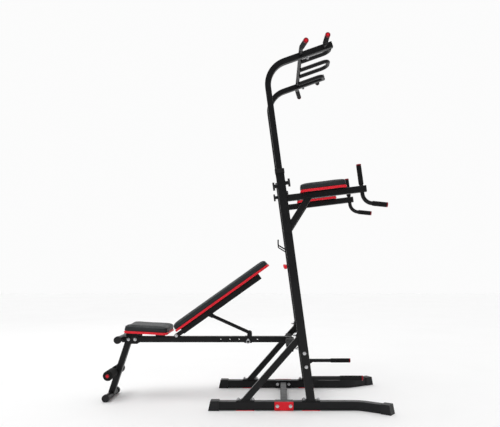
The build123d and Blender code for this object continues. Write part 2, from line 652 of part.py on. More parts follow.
with BuildPart() as handle_caps:
    for start, end in handle_ends:
        grip_cap(start, end)
    for name, side in SIDES:
        y = side * HALF_SPACING
        grip_cap((push_root_x, y, PUSH_HANDLE_Z), (push_grip_x, y, PUSH_HANDLE_Z))
save(handle_caps, "handle_caps")


# ---------------------------------------------------------------- knobs and pull pins
def shaft_tip():
    """Distance from the upright axis to a shaft's tip, just clear of the sliding tube."""
    return SLIDER_TUBE / 2 + SHAFT_TIP_GAP


def clamp_knob(z, y, facing):
    """Star knob with its threaded shaft through the upright's wall."""
    axis_plane = Plane(origin=upright_point(z, y=y), x_dir=(0, 1, 0), z_dir=facing)
    disc_start = TUBE / 2 + CLAMP_KNOB_OFF_FACE
    with Locations(axis_plane.offset(shaft_tip())):
        Cylinder(SHAFT_RADIUS, disc_start - shaft_tip(), align=ON_FACE)
    hub_start = TUBE / 2 + BOSS_HEIGHT + BODY_GAP
    with Locations(axis_plane.offset(hub_start)):
        Cylinder(BOSS_RADIUS, disc_start - hub_start, align=ON_FACE)
    with BuildSketch(axis_plane.offset(disc_start)) as star:
        Circle(CLAMP_KNOB_RADIUS)
        with PolarLocations(CLAMP_KNOB_RADIUS + CLAMP_KNOB_NOTCH / 2, CLAMP_KNOB_LOBES):
            Circle(CLAMP_KNOB_NOTCH, mode=Mode.SUBTRACT)
    extrude(star.sketch, amount=CLAMP_KNOB_THICKNESS)


for name, side in SIDES:
    with BuildPart() as rear_knob:
        clamp_knob(REAR_KNOB_Z, side * HALF_SPACING, REAR)
    save(rear_knob, f"rear_knob_{name}")
    with BuildPart() as front_knob:
        clamp_knob(FRONT_KNOB_Z, side * HALF_SPACING, FRONT)
    save(front_knob, f"front_knob_{name}")
    with BuildPart() as pull_pin:
        axis_plane = Plane(origin=upright_point(PULL_PIN_Z, y=side * HALF_SPACING), z_dir=REAR)
        knob_start = TUBE / 2 + PIN_BOSS_HEIGHT + BODY_GAP
        with Locations(axis_plane.offset(shaft_tip())):
            Cylinder(SHAFT_RADIUS, knob_start - shaft_tip(), align=ON_FACE)
        with Locations(axis_plane.offset(knob_start)):
            Cylinder(PULL_KNOB_RADIUS, PULL_KNOB_END - knob_start, align=ON_FACE)
        fillet(pull_pin.faces().sort_by(Axis(axis_plane.origin, REAR))[-1].edges(), KNOB_EDGE)
    save(pull_pin, f"pull_pin_{name}")

# ---------------------------------------------------------------- sliding top frame
wide_bar_place = slope_point(WIDE_BAR_REACH, -WIDE_BAR_RAISE)
wide_bar_axis = ((wide_bar_place[0], -WIDE_BAR_STRAIGHT, wide_bar_place[2]),
                 (wide_bar_place[0], WIDE_BAR_STRAIGHT, wide_bar_place[2]))
slope_end = slope_point(TOP_REACH)
for name, side in SIDES:
    y = side * HALF_SPACING
    with BuildPart() as slide_post:
        square_run(upright_point(SLIDER_LOW_Z, y=y), upright_point(POST_TOP_Z, y=y), SLIDER_TUBE)
        for hole in range(HEIGHT_HOLES):
            hole_z = PULL_PIN_Z + hole * HEIGHT_HOLE_PITCH
            with Locations(Plane(origin=upright_point(hole_z, y=y), z_dir=REAR)):
                Cylinder(BOLT_RADIUS, SLIDER_TUBE, align=ON_FACE, mode=Mode.SUBTRACT)
    save(slide_post, f"slide_post_{name}")
    with BuildPart() as top_bar:
        post_top = upright_point(POST_TOP_Z)
        corner = upright_point(TOP_CORNER_Z)
        with BuildLine(Plane.XZ.offset(-y)) as top_path:
            FilletPolyline((post_top[0], post_top[2]), (corner[0], corner[2]), (slope_end[0], slope_end[2]),
                           radius=TOP_BEND_RADIUS)
        with BuildSketch(Plane(origin=upright_point(POST_TOP_Z, y=y), x_dir=(0, 1, 0), z_dir=UP)):
            square_section(SLIDER_TUBE)
        sweep()
        run(*wide_bar_axis, BAR_RADIUS, mode=Mode.SUBTRACT)
    save(top_bar, f"top_bar_{name}")

with BuildPart() as top_bar_caps:
    for name, side in SIDES:
        with BuildSketch(Plane(origin=slope_point(TOP_REACH, y=side * HALF_SPACING), x_dir=(0, 1, 0),
                               z_dir=SLOPE)):
            RectangleRounded(SLIDER_TUBE, SLIDER_TUBE, TUBE_CORNER)
        extrude(amount=PLATE)
save(top_bar_caps, "top_bar_caps")

tip_x, tip_y, tip_z = WIDE_BAR_TIP
with BuildPart() as wide_bar:
    with BuildLine() as wide_path:
        FilletPolyline((tip_x, -tip_y, tip_z), *wide_bar_axis, (tip_x, tip_y, tip_z),
                       radius=WIDE_BAR_BEND_RADIUS)
    with BuildSketch(Plane(origin=wide_path.line @ 0, z_dir=wide_path.line % 0)):
        round_section(BAR_RADIUS)
    sweep()
save(wide_bar, "wide_bar")

loop_plane = Plane(origin=slope_point(0, LOOP_DROP), x_dir=SLOPE, z_dir=SLOPE_NORMAL)
with BuildPart() as centre_loop:
    with BuildLine(loop_plane) as loop_path:
        FilletPolyline((WIDE_BAR_REACH, -LOOP_HALF_WIDTH), (LOOP_REACH, -LOOP_HALF_WIDTH),
                       (LOOP_REACH, LOOP_HALF_WIDTH), (WIDE_BAR_REACH, LOOP_HALF_WIDTH),
                       radius=LOOP_BEND_RADIUS)
    with BuildSketch(Plane(origin=loop_path.line @ 0, z_dir=loop_path.line % 0)):
        round_section(BAR_RADIUS)
    sweep()
    run(*wide_bar_axis, BAR_RADIUS, mode=Mode.SUBTRACT)
save(centre_loop, "centre_loop")

side_loops = []
for name, side in SIDES:
    with BuildPart() as side_loop:
        with BuildLine(loop_plane) as side_path:
            FilletPolyline((WIDE_BAR_REACH, side * SIDE_LOOP_Y), (SIDE_LOOP_REACH, side * SIDE_LOOP_Y),
                           (SIDE_LOOP_REACH, side * (HALF_SPACING - SLIDER_TUBE / 2)),
                           radius=SIDE_LOOP_RADIUS)
        with BuildSketch(Plane(origin=side_path.line @ 0, z_dir=side_path.line % 0)):
            round_section(BAR_RADIUS)
        sweep()
        run(*wide_bar_axis, BAR_RADIUS, mode=Mode.SUBTRACT)
    side_loops.append(side_loop.part)
save_group(side_loops, "side_loops")

front_grip_bars = []
for name, side in SIDES:
    root = slope_point(FRONT_GRIP_REACH, y=side * HALF_SPACING)
    tip = (FRONT_GRIP_TIP[0], side * FRONT_GRIP_TIP[1], FRONT_GRIP_TIP[2])
    outer_face = Plane(origin=(0, side * (HALF_SPACING + SLIDER_TUBE / 2), 0), z_dir=(0, side, 0))
    with BuildPart() as front_grip_bar:
        run(root, tip, BAR_RADIUS, BAR_RADIUS - BAR_WALL)
        split(bisect_by=outer_face, keep=Keep.TOP)
    front_grip_bars.append(front_grip_bar.part)
save_group(front_grip_bars, "front_grip_bars")

top_grips = []
for name, side in SIDES:
    wide_corner = Vector(wide_bar_place[0], side * WIDE_BAR_STRAIGHT, wide_bar_place[2])
    for inner, outer, length in (
            (wide_corner, Vector(tip_x, side * tip_y, tip_z), TOP_GRIP_WIDE),
            (Vector(slope_point(FRONT_GRIP_REACH, y=side * HALF_SPACING)),
             Vector(FRONT_GRIP_TIP[0], side * FRONT_GRIP_TIP[1], FRONT_GRIP_TIP[2]), TOP_GRIP_FRONT)):
        direction = (outer - inner).normalized()
        top_grips.append((tuple(outer - direction * length), tuple(outer)))

with BuildPart() as top_foam:
    for start, end in top_grips:
        run(start, end, GRIP_RADIUS, BAR_RADIUS)
save(top_foam, "top_foam")

with BuildPart() as top_grip_caps:
    for start, end in top_grips:
        grip_cap(start, end)
save(top_grip_caps, "top_grip_caps")

with BuildPart() as top_bar_bolts:
    for name, side in SIDES:
        under = slope_point(TOP_BOLT_REACH, SLIDER_TUBE / 2, side * HALF_SPACING)
        bolt(Plane(origin=under, z_dir=(SLOPE[2], 0, -SLOPE[0])), 0)
save(top_bar_bolts, "top_bar_bolts")

# ---------------------------------------------------------------- bench frame
seat_plane = Plane(origin=((SEAT_FRONT_X + SEAT_REAR_X) / 2, 0, SEAT_MIDDLE_Z),
                   x_dir=(cos(radians(SEAT_TILT)), 0, -sin(radians(SEAT_TILT))),
                   z_dir=(sin(radians(SEAT_TILT)), 0, cos(radians(SEAT_TILT))))
seat_length = (SEAT_REAR_X - SEAT_FRONT_X) / cos(radians(SEAT_TILT))
hook_inner_rear = HOOK_TUBE_X - HOOK_TUBE / 2 - HOOK_PAD - BODY_GAP
hook_inner_front = HOOK_TUBE_X + HOOK_TUBE / 2 + HOOK_PAD + BODY_GAP
hook_inner_top = HOOK_TUBE_Z + HOOK_TUBE / 2 + HOOK_PAD + BODY_GAP

with BuildPart() as bench_beam:
    for start_x, end_x in (SEAT_FRONT_BRACKET, SEAT_REAR_BRACKET):
        with BuildSketch(Plane.YZ.offset(start_x)):
            with Locations((0, BEAM_TOP)):
                Rectangle(SMALL_TUBE, SMALL_TUBE, align=(Align.CENTER, Align.MIN))
            with Locations((0, BEAM_TOP + BRACKET_WALL)):
                Rectangle(SMALL_TUBE - 2 * BRACKET_WALL, SMALL_TUBE, align=(Align.CENTER, Align.MIN),
                          mode=Mode.SUBTRACT)
        extrude(amount=end_x - start_x)
    split(bisect_by=seat_plane, keep=Keep.BOTTOM)
    square_run((FRONT_BAR[0], 0, BEAM_Z), (hook_inner_rear - HOOK_PLATE, 0, BEAM_Z), SMALL_TUBE)
    run((FRONT_BAR[0], -SMALL_TUBE, FRONT_BAR[1]), (FRONT_BAR[0], SMALL_TUBE, FRONT_BAR[1]),
        CROSS_BAR_RADIUS, mode=Mode.SUBTRACT)
    for hole in range(PIN_HOLES):
        hole_x = PIN_HOLE_FIRST_X + hole * PIN_HOLE_PITCH
        run((hole_x, -SMALL_TUBE, PIN_HOLE_Z), (hole_x, SMALL_TUBE, PIN_HOLE_Z), BOLT_RADIUS,
            mode=Mode.SUBTRACT)
    with BuildSketch(Plane.XZ.offset(-HOOK_HALF_WIDTH)):
        with BuildLine():
            Polyline((hook_inner_rear - HOOK_PLATE, HOOK_LIP_Z), (hook_inner_rear, HOOK_LIP_Z),
                     (hook_inner_rear, hook_inner_top), (hook_inner_front, hook_inner_top),
                     (hook_inner_front, HOOK_LIP_Z), (hook_inner_front + HOOK_PLATE, HOOK_LIP_Z),
                     (hook_inner_front + HOOK_PLATE, hook_inner_top + HOOK_PLATE),
                     (hook_inner_rear, hook_inner_top + 2 * HOOK_PLATE),
                     (hook_inner_rear - HOOK_PLATE, BEAM_TOP), close=True)
        make_face()
    extrude(amount=2 * HOOK_HALF_WIDTH)
    boss_half = SMALL_TUBE / 2 - WELD_OVERLAP
    pivot_x, pivot_z = BACK_PIVOT
    run((pivot_x, -boss_half, pivot_z), (pivot_x, boss_half, pivot_z), PIVOT_BOSS_RADIUS)
    run((pivot_x, -SMALL_TUBE, pivot_z), (pivot_x, SMALL_TUBE, pivot_z), BOLT_RADIUS, mode=Mode.SUBTRACT)
save(bench_beam, "bench_beam")

with BuildPart() as bench_cross_bars:
    for x, z in (FRONT_BAR, FOOT_BAR):
        half = CROSS_BAR_HALF_LENGTH - CROSS_BAR_CAP_END
        run((x, -half, z), (x, half, z), CROSS_BAR_RADIUS, CROSS_BAR_RADIUS - BAR_WALL)
save(bench_cross_bars, "bench_cross_bars")

with BuildPart() as bench_bar_caps:
    for x, z in (FRONT_BAR, FOOT_BAR):
        for name, side in SIDES:
            outer_y = side * CROSS_BAR_HALF_LENGTH
            tube_y = outer_y - side * CROSS_BAR_CAP_END
            inner_y = outer_y - side * CROSS_BAR_CAP_LENGTH
            run((x, outer_y, z), (x, tube_y, z), CROSS_BAR_CAP_RADIUS)
            run((x, tube_y, z), (x, inner_y, z), CROSS_BAR_CAP_RADIUS, CROSS_BAR_RADIUS)
save(bench_bar_caps, "bench_bar_caps")

leg_vector = Vector(FOOT_BAR[0] - LEG_TOP[0], 0, FOOT_BAR[1] - LEG_TOP[1])
leg_direction = leg_vector.normalized()
leg_front = (leg_direction.Z, 0, -leg_direction.X)
with BuildPart() as bench_leg:
    leg_end = (FOOT_BAR[0] - SADDLE_DEPTH * leg_direction.X, 0, FOOT_BAR[1] - SADDLE_DEPTH * leg_direction.Z)
    square_run((LEG_TOP[0], 0, LEG_TOP[1]), leg_end, SMALL_TUBE)
    run((FOOT_BAR[0], -SMALL_TUBE, FOOT_BAR[1]), (FOOT_BAR[0], SMALL_TUBE, FOOT_BAR[1]), CROSS_BAR_RADIUS,
        mode=Mode.SUBTRACT)
    split(bisect_by=Plane.XY.offset(BEAM_BOTTOM), keep=Keep.BOTTOM)
    for plate_y in (-SMALL_TUBE / 2 - LEG_PLATE, SMALL_TUBE / 2 - WELD_OVERLAP):
        with BuildSketch(Plane.XZ.offset(-plate_y - LEG_PLATE - WELD_OVERLAP)):
            with Locations((sum(LEG_PLATE_X) / 2, sum(LEG_PLATE_Z) / 2)):
                RectangleRounded(LEG_PLATE_X[1] - LEG_PLATE_X[0], LEG_PLATE_Z[1] - LEG_PLATE_Z[0],
                                 LEG_PLATE_CORNER)
            for bolt_x in LEG_BOLT_X:
                with Locations((bolt_x, BEAM_Z)):
                    Circle(BOLT_RADIUS, mode=Mode.SUBTRACT)
        extrude(amount=LEG_PLATE + WELD_OVERLAP)
    with Locations((LEG_TOP[0], 0, BEAM_BOTTOM)):
        Box(LEG_CLEARANCE[0], SMALL_TUBE, LEG_CLEARANCE[1], align=ON_FACE, mode=Mode.SUBTRACT)
    run((FRONT_BAR[0], -SMALL_TUBE, FRONT_BAR[1]), (FRONT_BAR[0], SMALL_TUBE, FRONT_BAR[1]), CROSS_BAR_RADIUS,
        mode=Mode.SUBTRACT)
save(bench_leg, "bench_leg")

with BuildPart() as bench_bolts:
    plate_face = SMALL_TUBE / 2 + LEG_PLATE
    ear_face = EAR_INNER_Y + EAR_THICKNESS + BODY_GAP
    for name, side in SIDES:
        for bolt_x in LEG_BOLT_X:
            bolt(Plane(origin=(bolt_x, side * plate_face, BEAM_Z), z_dir=(0, side, 0)), LEG_PLATE)
        bolt(Plane(origin=(BACK_PIVOT[0], side * ear_face, BACK_PIVOT[1]), z_dir=(0, side, 0)), ear_face)
save(bench_bolts, "bench_bolts")

leg_face = Plane(origin=(FOOT_BAR[0], 0, FOOT_BAR[1]), z_dir=leg_front).offset(SMALL_TUBE / 2)
with BuildPart() as roller_axle:
    run((ROLLER_AXLE[0], -ROLLER_OUTER_Y - ROLLER_CAP_LENGTH / 2, ROLLER_AXLE[1]),
        (ROLLER_AXLE[0], ROLLER_OUTER_Y + ROLLER_CAP_LENGTH / 2, ROLLER_AXLE[1]), ROLLER_AXLE_RADIUS)
    with BuildSketch(Plane.XZ.offset(-SMALL_TUBE / 2)):
        with Locations(ROLLER_AXLE):
            Rectangle(AXLE_PLATE[0], AXLE_PLATE[1])
            Circle(2 * ROLLER_AXLE_RADIUS)
    extrude(amount=SMALL_TUBE)
    split(bisect_by=leg_face, keep=Keep.TOP)
save(roller_axle, "roller_axle")

with BuildPart() as roller_caps:
    for name, side in SIDES:
        start_y = side * (ROLLER_OUTER_Y + BODY_GAP)
        end_y = side * (ROLLER_OUTER_Y + ROLLER_CAP_LENGTH)
        axle_y = side * (ROLLER_OUTER_Y + ROLLER_CAP_LENGTH / 2)
        run((ROLLER_AXLE[0], start_y, ROLLER_AXLE[1]), (ROLLER_AXLE[0], axle_y, ROLLER_AXLE[1]),
            ROLLER_CAP_RADIUS, ROLLER_AXLE_RADIUS)
        run((ROLLER_AXLE[0], axle_y, ROLLER_AXLE[1]), (ROLLER_AXLE[0], end_y, ROLLER_AXLE[1]),
            ROLLER_CAP_RADIUS)
save(roller_caps, "roller_caps")

for name, side in SIDES:
    with BuildPart() as roller:
        run((ROLLER_AXLE[0], side * ROLLER_INNER_Y, ROLLER_AXLE[1]),
            (ROLLER_AXLE[0], side * ROLLER_OUTER_Y, ROLLER_AXLE[1]), ROLLER_RADIUS,
            ROLLER_AXLE_RADIUS + RUNNING_GAP)
    save(roller, f"roller_{name}")

with BuildPart() as seat_board:
    with BuildSketch(seat_plane):
        RectangleRounded(seat_length, PAD_WIDTH, PAD_CORNER)
    extrude(amount=PAD_BOARD)
save(seat_board, "seat_board")

with BuildPart() as seat_cushion:
    with BuildSketch(seat_plane.offset(PAD_BOARD)):
        RectangleRounded(seat_length, PAD_WIDTH, PAD_CORNER)
    extrude(amount=PAD_CUSHION)
    fillet(seat_cushion.faces().sort_by(Axis(seat_plane.origin, seat_plane.z_dir))[-1].edges(), PAD_EDGE)
    rear_edge = seat_plane.from_local_coords(Vector(seat_length / 2, 0, PAD_BOARD + PAD_CUSHION))
    round_over(rear_edge, -seat_plane.x_dir, seat_plane.z_dir, SEAT_PAD_NOSE)
save(seat_cushion, "seat_cushion")

# ---------------------------------------------------------------- back rest
back_plane = Plane(origin=back_point(0), x_dir=BACK, z_dir=(0, -1, 0))
strut_head = back_point(STRUT_ALONG_BACK, -STRUT_BELOW_AXIS)
with BuildPart() as back_frame:
    square_run(back_point(BACK_TUBE_START), back_point(BACK_TUBE_END), SMALL_TUBE)
    with BuildSketch(Plane(origin=back_point(BACK_TUBE_END), x_dir=(0, 1, 0), z_dir=BACK)):
        RectangleRounded(SMALL_TUBE, SMALL_TUBE, TUBE_CORNER)
    extrude(amount=BRACKET_WALL)
    for name, side in SIDES:
        spacer = EAR_INNER_Y - SMALL_TUBE / 2 + 2 * WELD_OVERLAP
        spacer_y = SMALL_TUBE / 2 - WELD_OVERLAP if side > 0 else -EAR_INNER_Y - WELD_OVERLAP
        ear_y = EAR_INNER_Y if side > 0 else -EAR_INNER_Y - EAR_THICKNESS
        with BuildSketch(back_plane.offset(-ear_y - EAR_THICKNESS)):
            with Locations((EAR_LENGTH / 2, 0)):
                Rectangle(EAR_LENGTH, 2 * EAR_RADIUS)
            Circle(EAR_RADIUS)
            Circle(BOLT_RADIUS + RUNNING_GAP, mode=Mode.SUBTRACT)
        extrude(amount=EAR_THICKNESS)
        with BuildSketch(back_plane.offset(-spacer_y - spacer)):
            with Locations(((EAR_LENGTH + BACK_TUBE_START) / 2, 0)):
                Rectangle(EAR_LENGTH - BACK_TUBE_START - EAR_SPACER_INSET,
                          2 * (EAR_RADIUS - EAR_SPACER_INSET))
        extrude(amount=spacer)
    strut_pin_y = EAR_INNER_Y + FORK_PLATE + BODY_GAP
    run((strut_head[0], -strut_pin_y, strut_head[2]), (strut_head[0], strut_pin_y, strut_head[2]),
        BOLT_RADIUS)
    for name, side in SIDES:
        run((strut_head[0], side * strut_pin_y, strut_head[2]),
            (strut_head[0], side * (strut_pin_y + PLATE), strut_head[2]), WASHER_RADIUS)
save(back_frame, "back_frame")

back_pad_length = BACK_PAD_END - BACK_PAD_START
back_pad_middle = (BACK_PAD_END + BACK_PAD_START) / 2
with BuildPart() as back_board:
    base = back_point(back_pad_middle, SMALL_TUBE / 2)
    with BuildSketch(Plane(origin=base, x_dir=BACK, z_dir=BACK_NORMAL)):
        RectangleRounded(back_pad_length, PAD_WIDTH, PAD_CORNER)
    extrude(amount=PAD_BOARD)
save(back_board, "back_board")

with BuildPart() as back_cushion:
    base = back_point(back_pad_middle, SMALL_TUBE / 2 + PAD_BOARD)
    with BuildSketch(Plane(origin=base, x_dir=BACK, z_dir=BACK_NORMAL)):
        RectangleRounded(back_pad_length, PAD_WIDTH, PAD_CORNER)
    extrude(amount=PAD_CUSHION)
    fillet(back_cushion.faces().sort_by(Axis(base, BACK_NORMAL))[-1].edges(), PAD_EDGE)
    round_over(back_point(BACK_PAD_START, SMALL_TUBE / 2 + PAD_BOARD + PAD_CUSHION), BACK, BACK_NORMAL,
               BACK_PAD_NOSE)
save(back_cushion, "back_cushion")

strut_foot = (STRUT_FOOT[0], 0, STRUT_FOOT[1])
strut_direction = (Vector(strut_foot) - Vector(strut_head)).normalized()
strut_axis = (strut_direction.X, 0, strut_direction.Z)
with BuildPart() as strut:
    run(moved(strut_head, strut_axis, FORK_WEB_START), strut_foot, STRUT_RADIUS, STRUT_RADIUS - BAR_WALL)
    run((strut_foot[0], -STRUT_RADIUS, strut_foot[2]), (strut_foot[0], STRUT_RADIUS, strut_foot[2]),
        STRUT_RADIUS)
    with BuildSketch(along(moved(strut_head, strut_axis, FORK_WEB_START), strut_foot)):
        Rectangle(2 * (EAR_INNER_Y + FORK_PLATE), 2 * STRUT_RADIUS)
    extrude(amount=FORK_PLATE)
    fork_plane = Plane(origin=strut_head, x_dir=strut_axis, z_dir=(0, -1, 0))
    for name, side in SIDES:
        plate_y = EAR_INNER_Y if side > 0 else -EAR_INNER_Y - FORK_PLATE
        with BuildSketch(fork_plane.offset(-plate_y - FORK_PLATE)):
            with Locations((FORK_LENGTH / 2 - STRUT_RADIUS / 2, 0)):
                Rectangle(FORK_LENGTH - STRUT_RADIUS, 2 * STRUT_RADIUS)
            Circle(STRUT_RADIUS)
            Circle(BOLT_RADIUS + RUNNING_GAP, mode=Mode.SUBTRACT)
        extrude(amount=FORK_PLATE)
save(strut, "strut")

# ---------------------------------------------------------------- carriage that locks the strut
pin_x = PIN_HOLE_FIRST_X + PIN_HOLE_SHOWN * PIN_HOLE_PITCH
cheek_y = SMALL_TUBE / 2 + BODY_GAP
with BuildPart() as carriage:
    web_top = BEAM_BOTTOM - BODY_GAP
    with Locations((sum(CARRIAGE_X) / 2, 0, web_top - FORK_PLATE / 2)):
        Box(CARRIAGE_X[1] - CARRIAGE_X[0], 2 * (cheek_y + FORK_PLATE), FORK_PLATE)
    for name, side in SIDES:
        plate_y = cheek_y if side > 0 else -cheek_y - FORK_PLATE
        with BuildSketch(Plane.XZ.offset(-plate_y - FORK_PLATE)):
            with BuildLine():
                Polyline((CARRIAGE_X[0], web_top - FORK_PLATE), (CARRIAGE_X[1], web_top - FORK_PLATE),
                         (CARRIAGE_X[1], STRUT_FOOT[1]), (STRUT_FOOT[0] - CARRIAGE_EAR_RADIUS, STRUT_FOOT[1]),
                         (CARRIAGE_LUG_X, CARRIAGE_TOP_Z), (CARRIAGE_X[0], CARRIAGE_TOP_Z), close=True)
            make_face()
            with Locations(STRUT_FOOT):
                Circle(CARRIAGE_EAR_RADIUS)
        extrude(amount=FORK_PLATE)
        run((STRUT_FOOT[0], side * CARRIAGE_STUB_INNER_Y, STRUT_FOOT[1]),
            (STRUT_FOOT[0], side * CARRIAGE_STUB_OUTER_Y, STRUT_FOOT[1]), BOLT_RADIUS)
        run((STRUT_FOOT[0], side * (cheek_y + FORK_PLATE), STRUT_FOOT[1]),
            (STRUT_FOOT[0], side * (CARRIAGE_STUB_OUTER_Y - CARRIAGE_STUB_END), STRUT_FOOT[1]), NUT_RADIUS)
    boss_y = cheek_y + FORK_PLATE + BOLT_END
    run((pin_x, -cheek_y, PIN_HOLE_Z), (pin_x, -boss_y, PIN_HOLE_Z), PIN_BOSS_RADIUS)
    run((pin_x, -cheek_y, PIN_HOLE_Z), (pin_x, -boss_y, PIN_HOLE_Z), SHAFT_RADIUS + RUNNING_GAP,
        mode=Mode.SUBTRACT)
save(carriage, "carriage")

with BuildPart() as carriage_pin:
    collar_y = boss_y + BODY_GAP
    ring_y = collar_y + PULL_RING_COLLAR_LENGTH / 2
    run((pin_x, -cheek_y, PIN_HOLE_Z), (pin_x, -collar_y, PIN_HOLE_Z), SHAFT_RADIUS)
    run((pin_x, -collar_y, PIN_HOLE_Z), (pin_x, -collar_y - PULL_RING_COLLAR_LENGTH, PIN_HOLE_Z),
        PULL_RING_COLLAR)
    with Locations(Plane(origin=(pin_x, -ring_y, PIN_HOLE_Z - PULL_RING_RADIUS), z_dir=(0, -1, 0))):
        Torus(PULL_RING_RADIUS, PULL_RING_WIRE)
save(carriage_pin, "carriage_pin")
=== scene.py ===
"""The looks of the power tower and its incline bench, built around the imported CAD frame. Metres."""

import json
import math

import bmesh
import bpy
import numpy as np
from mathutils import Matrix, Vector
from mathutils.bvhtree import BVHTree


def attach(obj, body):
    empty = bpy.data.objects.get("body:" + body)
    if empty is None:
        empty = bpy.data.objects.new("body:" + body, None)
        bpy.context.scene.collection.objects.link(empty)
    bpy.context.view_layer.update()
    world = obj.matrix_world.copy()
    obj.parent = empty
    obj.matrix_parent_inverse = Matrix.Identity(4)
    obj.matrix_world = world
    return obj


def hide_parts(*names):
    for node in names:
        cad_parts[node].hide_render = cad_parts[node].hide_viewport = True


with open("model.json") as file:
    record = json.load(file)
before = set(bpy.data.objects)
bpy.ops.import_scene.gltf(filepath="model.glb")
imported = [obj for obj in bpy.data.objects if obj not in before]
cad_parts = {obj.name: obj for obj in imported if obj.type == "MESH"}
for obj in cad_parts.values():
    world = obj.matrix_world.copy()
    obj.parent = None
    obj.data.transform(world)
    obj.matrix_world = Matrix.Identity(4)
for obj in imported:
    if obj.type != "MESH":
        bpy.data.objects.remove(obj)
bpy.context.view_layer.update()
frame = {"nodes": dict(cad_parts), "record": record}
NODES = frame["nodes"]
SLOT_OF = {row["node"]: row["material_slot"] for row in frame["record"]["subparts"]}
BODY_OF = {node: body for body, members in frame["record"]["behaviour"]["bodies"].items() for node in members}
PAIR = ("left", "right")
scene = bpy.context.scene

# ---------------------------------------------------------------- driving values
# camera, light and floor
CAMERA_PLACE = (0.2155, -3.799, 0.8715)
SENSOR_WIDTH = 36
LENS = 42.9
LENS_SHIFT_X = -0.058
LENS_SHIFT_Y = 0.095
LIGHT_TARGET = (0, 0, 0.9)
KEY_LIGHT_PLACE = (-1.8, -2.2, 4.4)
KEY_LIGHT_SIZE = 1.8
REAR_LIGHT_PLACE = (-2.4, 3.4, 3.0)
REAR_LIGHT_SIZE = 2.0
AREA_LIGHT_POWER = 10
SUN_STRENGTH = 1.52
SUN_SPREAD = math.radians(50)
SUN_TURN = (math.radians(14), math.radians(-10), 0)
ROOM_LIGHT = 0.30        # world brightness on the camera's side of the object
SWEEP_LIGHT = 0.97       # world brightness on the far side
SWEEP_START = -0.2       # the Y of a direction where the sweep starts to show, and where it is full
SWEEP_FULL = 0.6
FLOOR_HALF = 12.0

# surfaces
SMOOTH_ANGLE = math.radians(32)
BAND_SMOOTH_ANGLE = math.radians(50)
BEVEL_WIDTH = 0.0006
BEVEL_SEGMENTS = 2
BEVEL_ANGLE = math.radians(40)
MERGE_DISTANCE = 1e-6
NODE_MERGE_DIGITS = 5    # CAD points that agree to so many decimals are one point
RIM_SHARE = 0.9          # points further out than this share of a radius are on its rim
TINY = 1e-9

# foam sleeves
BAR_RADIUS = 0.012
ROLLER_AXLE_RADIUS = 0.006
SLEEVE_LIP = 0.003
SLEEVE_SIDES = 40
ROLLER_LIP = 0.007
ROLLER_SIDES = 56
LIP_STEPS = 6

# caps
CAP_SIDES = 36
CAP_LIP = 0.35           # share of the cap's length that its rounding takes
CAP_LIP_SINK = 0.9       # how much of the rounding's length is reached
CAP_END_DEPTH = 1e-4     # points nearer to an end than this show how wide the end is
BUTTON_WIDTH = 0.58      # share of the cap's radius
# groove and raised button, as shares of the cap's length and of the button's radius
CAP_FACE = ((0.86, 1.12), (0.80, 1.05), (0.84, 1.0), (0.97, 0.9), (1.0, 0.6), (1.0, 0.0))
BUTTON_RINGS = 4         # rings of faces of the button, the last ones of the cap

# weld beads
BEAD_RADIUS = 0.0032
BEAD_SIDES = 6
BEAD_OFFSET = 0.0012     # from the welded face to the middle of the bead
RIPPLE_PITCH = 0.0042
RIPPLE_STEPS = 4         # rings of the bead in each ripple
RIPPLE_DEPTH = 0.16      # share of the bead's radius
WANDER_DEPTH = 0.07      # the same, for a slower change of its thickness
WANDER_RATE = 0.37       # radians a ring
LEAN = math.radians(7.76)
UPRIGHT_HALF = 0.025
BRACE_FLANGE_THICKNESS = 0.005
FRONT = Vector((math.cos(LEAN), 0, math.sin(LEAN)))              # square to the leaning uprights
UPRIGHT_FOOT = Vector((0.4024, 0, 0.05))      # where an upright's middle line meets its rail
UPRIGHT_FACE = UPRIGHT_FOOT + FRONT * UPRIGHT_HALF
BRACE_FLANGE = UPRIGHT_FOOT - FRONT * (UPRIGHT_HALF + BRACE_FLANGE_THICKNESS)
FOOT_FLANGE_TOP = 0.058

# cushions, their piping and the red bands under them
SEAT_TILT = math.radians(-3.0)
BACK_TILT = math.radians(35.5)
ARM_TILT = math.radians(7.0)
SEAT_NOSE = (1, 0.028)   # the rounded end, +1 or -1 along the pad, and its radius
BACK_NOSE = (-1, 0.034)
PAD_CORNER = 0.028
CORNER_STEPS = 10
SIDE_PULL = 0.0035
BAND_PULL = 0.6          # share of the cushion's side pull
CUSHION_CROWN = 0.005
CUSHION_TRAVEL = 1.15    # share of the crown that a point may move while it swells
CUSHION_INSET = 0.003
CUSHION_EDGE = 0.006
EDGE_BULGE = 0.3         # share of the edge at the middle of its rounding
FOOT_RISE = 0.004
HELD_HEIGHT = 0.006
VOXEL = 0.005
OUTLINE_STEP = 0.006
RELAX_SHARE = 0.5        # how far a point moves towards its neighbours in one round
RELAX_ROUNDS = 4
SIMULATED_FRAMES = 20
CLOTH_SETTINGS = {
    "quality": 5,
    "mass": 0.3,
    "tension_stiffness": 12,
    "compression_stiffness": 12,
    "shear_stiffness": 5,
    "bending_stiffness": 0.8,
    "use_pressure": True,
    "uniform_pressure_force": 4.0,
    "vertex_group_mass": "held",
}
PIPING_RADIUS = 0.0021
PIPING_SINK = 0.0006
PIPING_DROP = 0.006      # below the cushion's edge
PIPING_STEP = 0.008
PIPING_SIDES = 8
PROBE_START = 0.04       # how far outside a pad its surface is looked for, and how far inwards
PROBE_REACH = 0.12
UNDERSIDE_RING = (0.016, 0.0002)                                 # (inset, height) of the underside
BAND_ROUNDING = ((0.004, 0.0), (0.0012, 0.0016), (0.0, 0.005))   # (inset, depth) from face to side
STITCH_PITCH = 0.0065
STITCH_LENGTH = 0.0042
STITCH_RADIUS = 0.0006
STITCH_DROP = 0.0035     # below the band's upper face
STITCH_SIDES = 6
STITCH_TAPER = 0.2       # share of a stitch's length
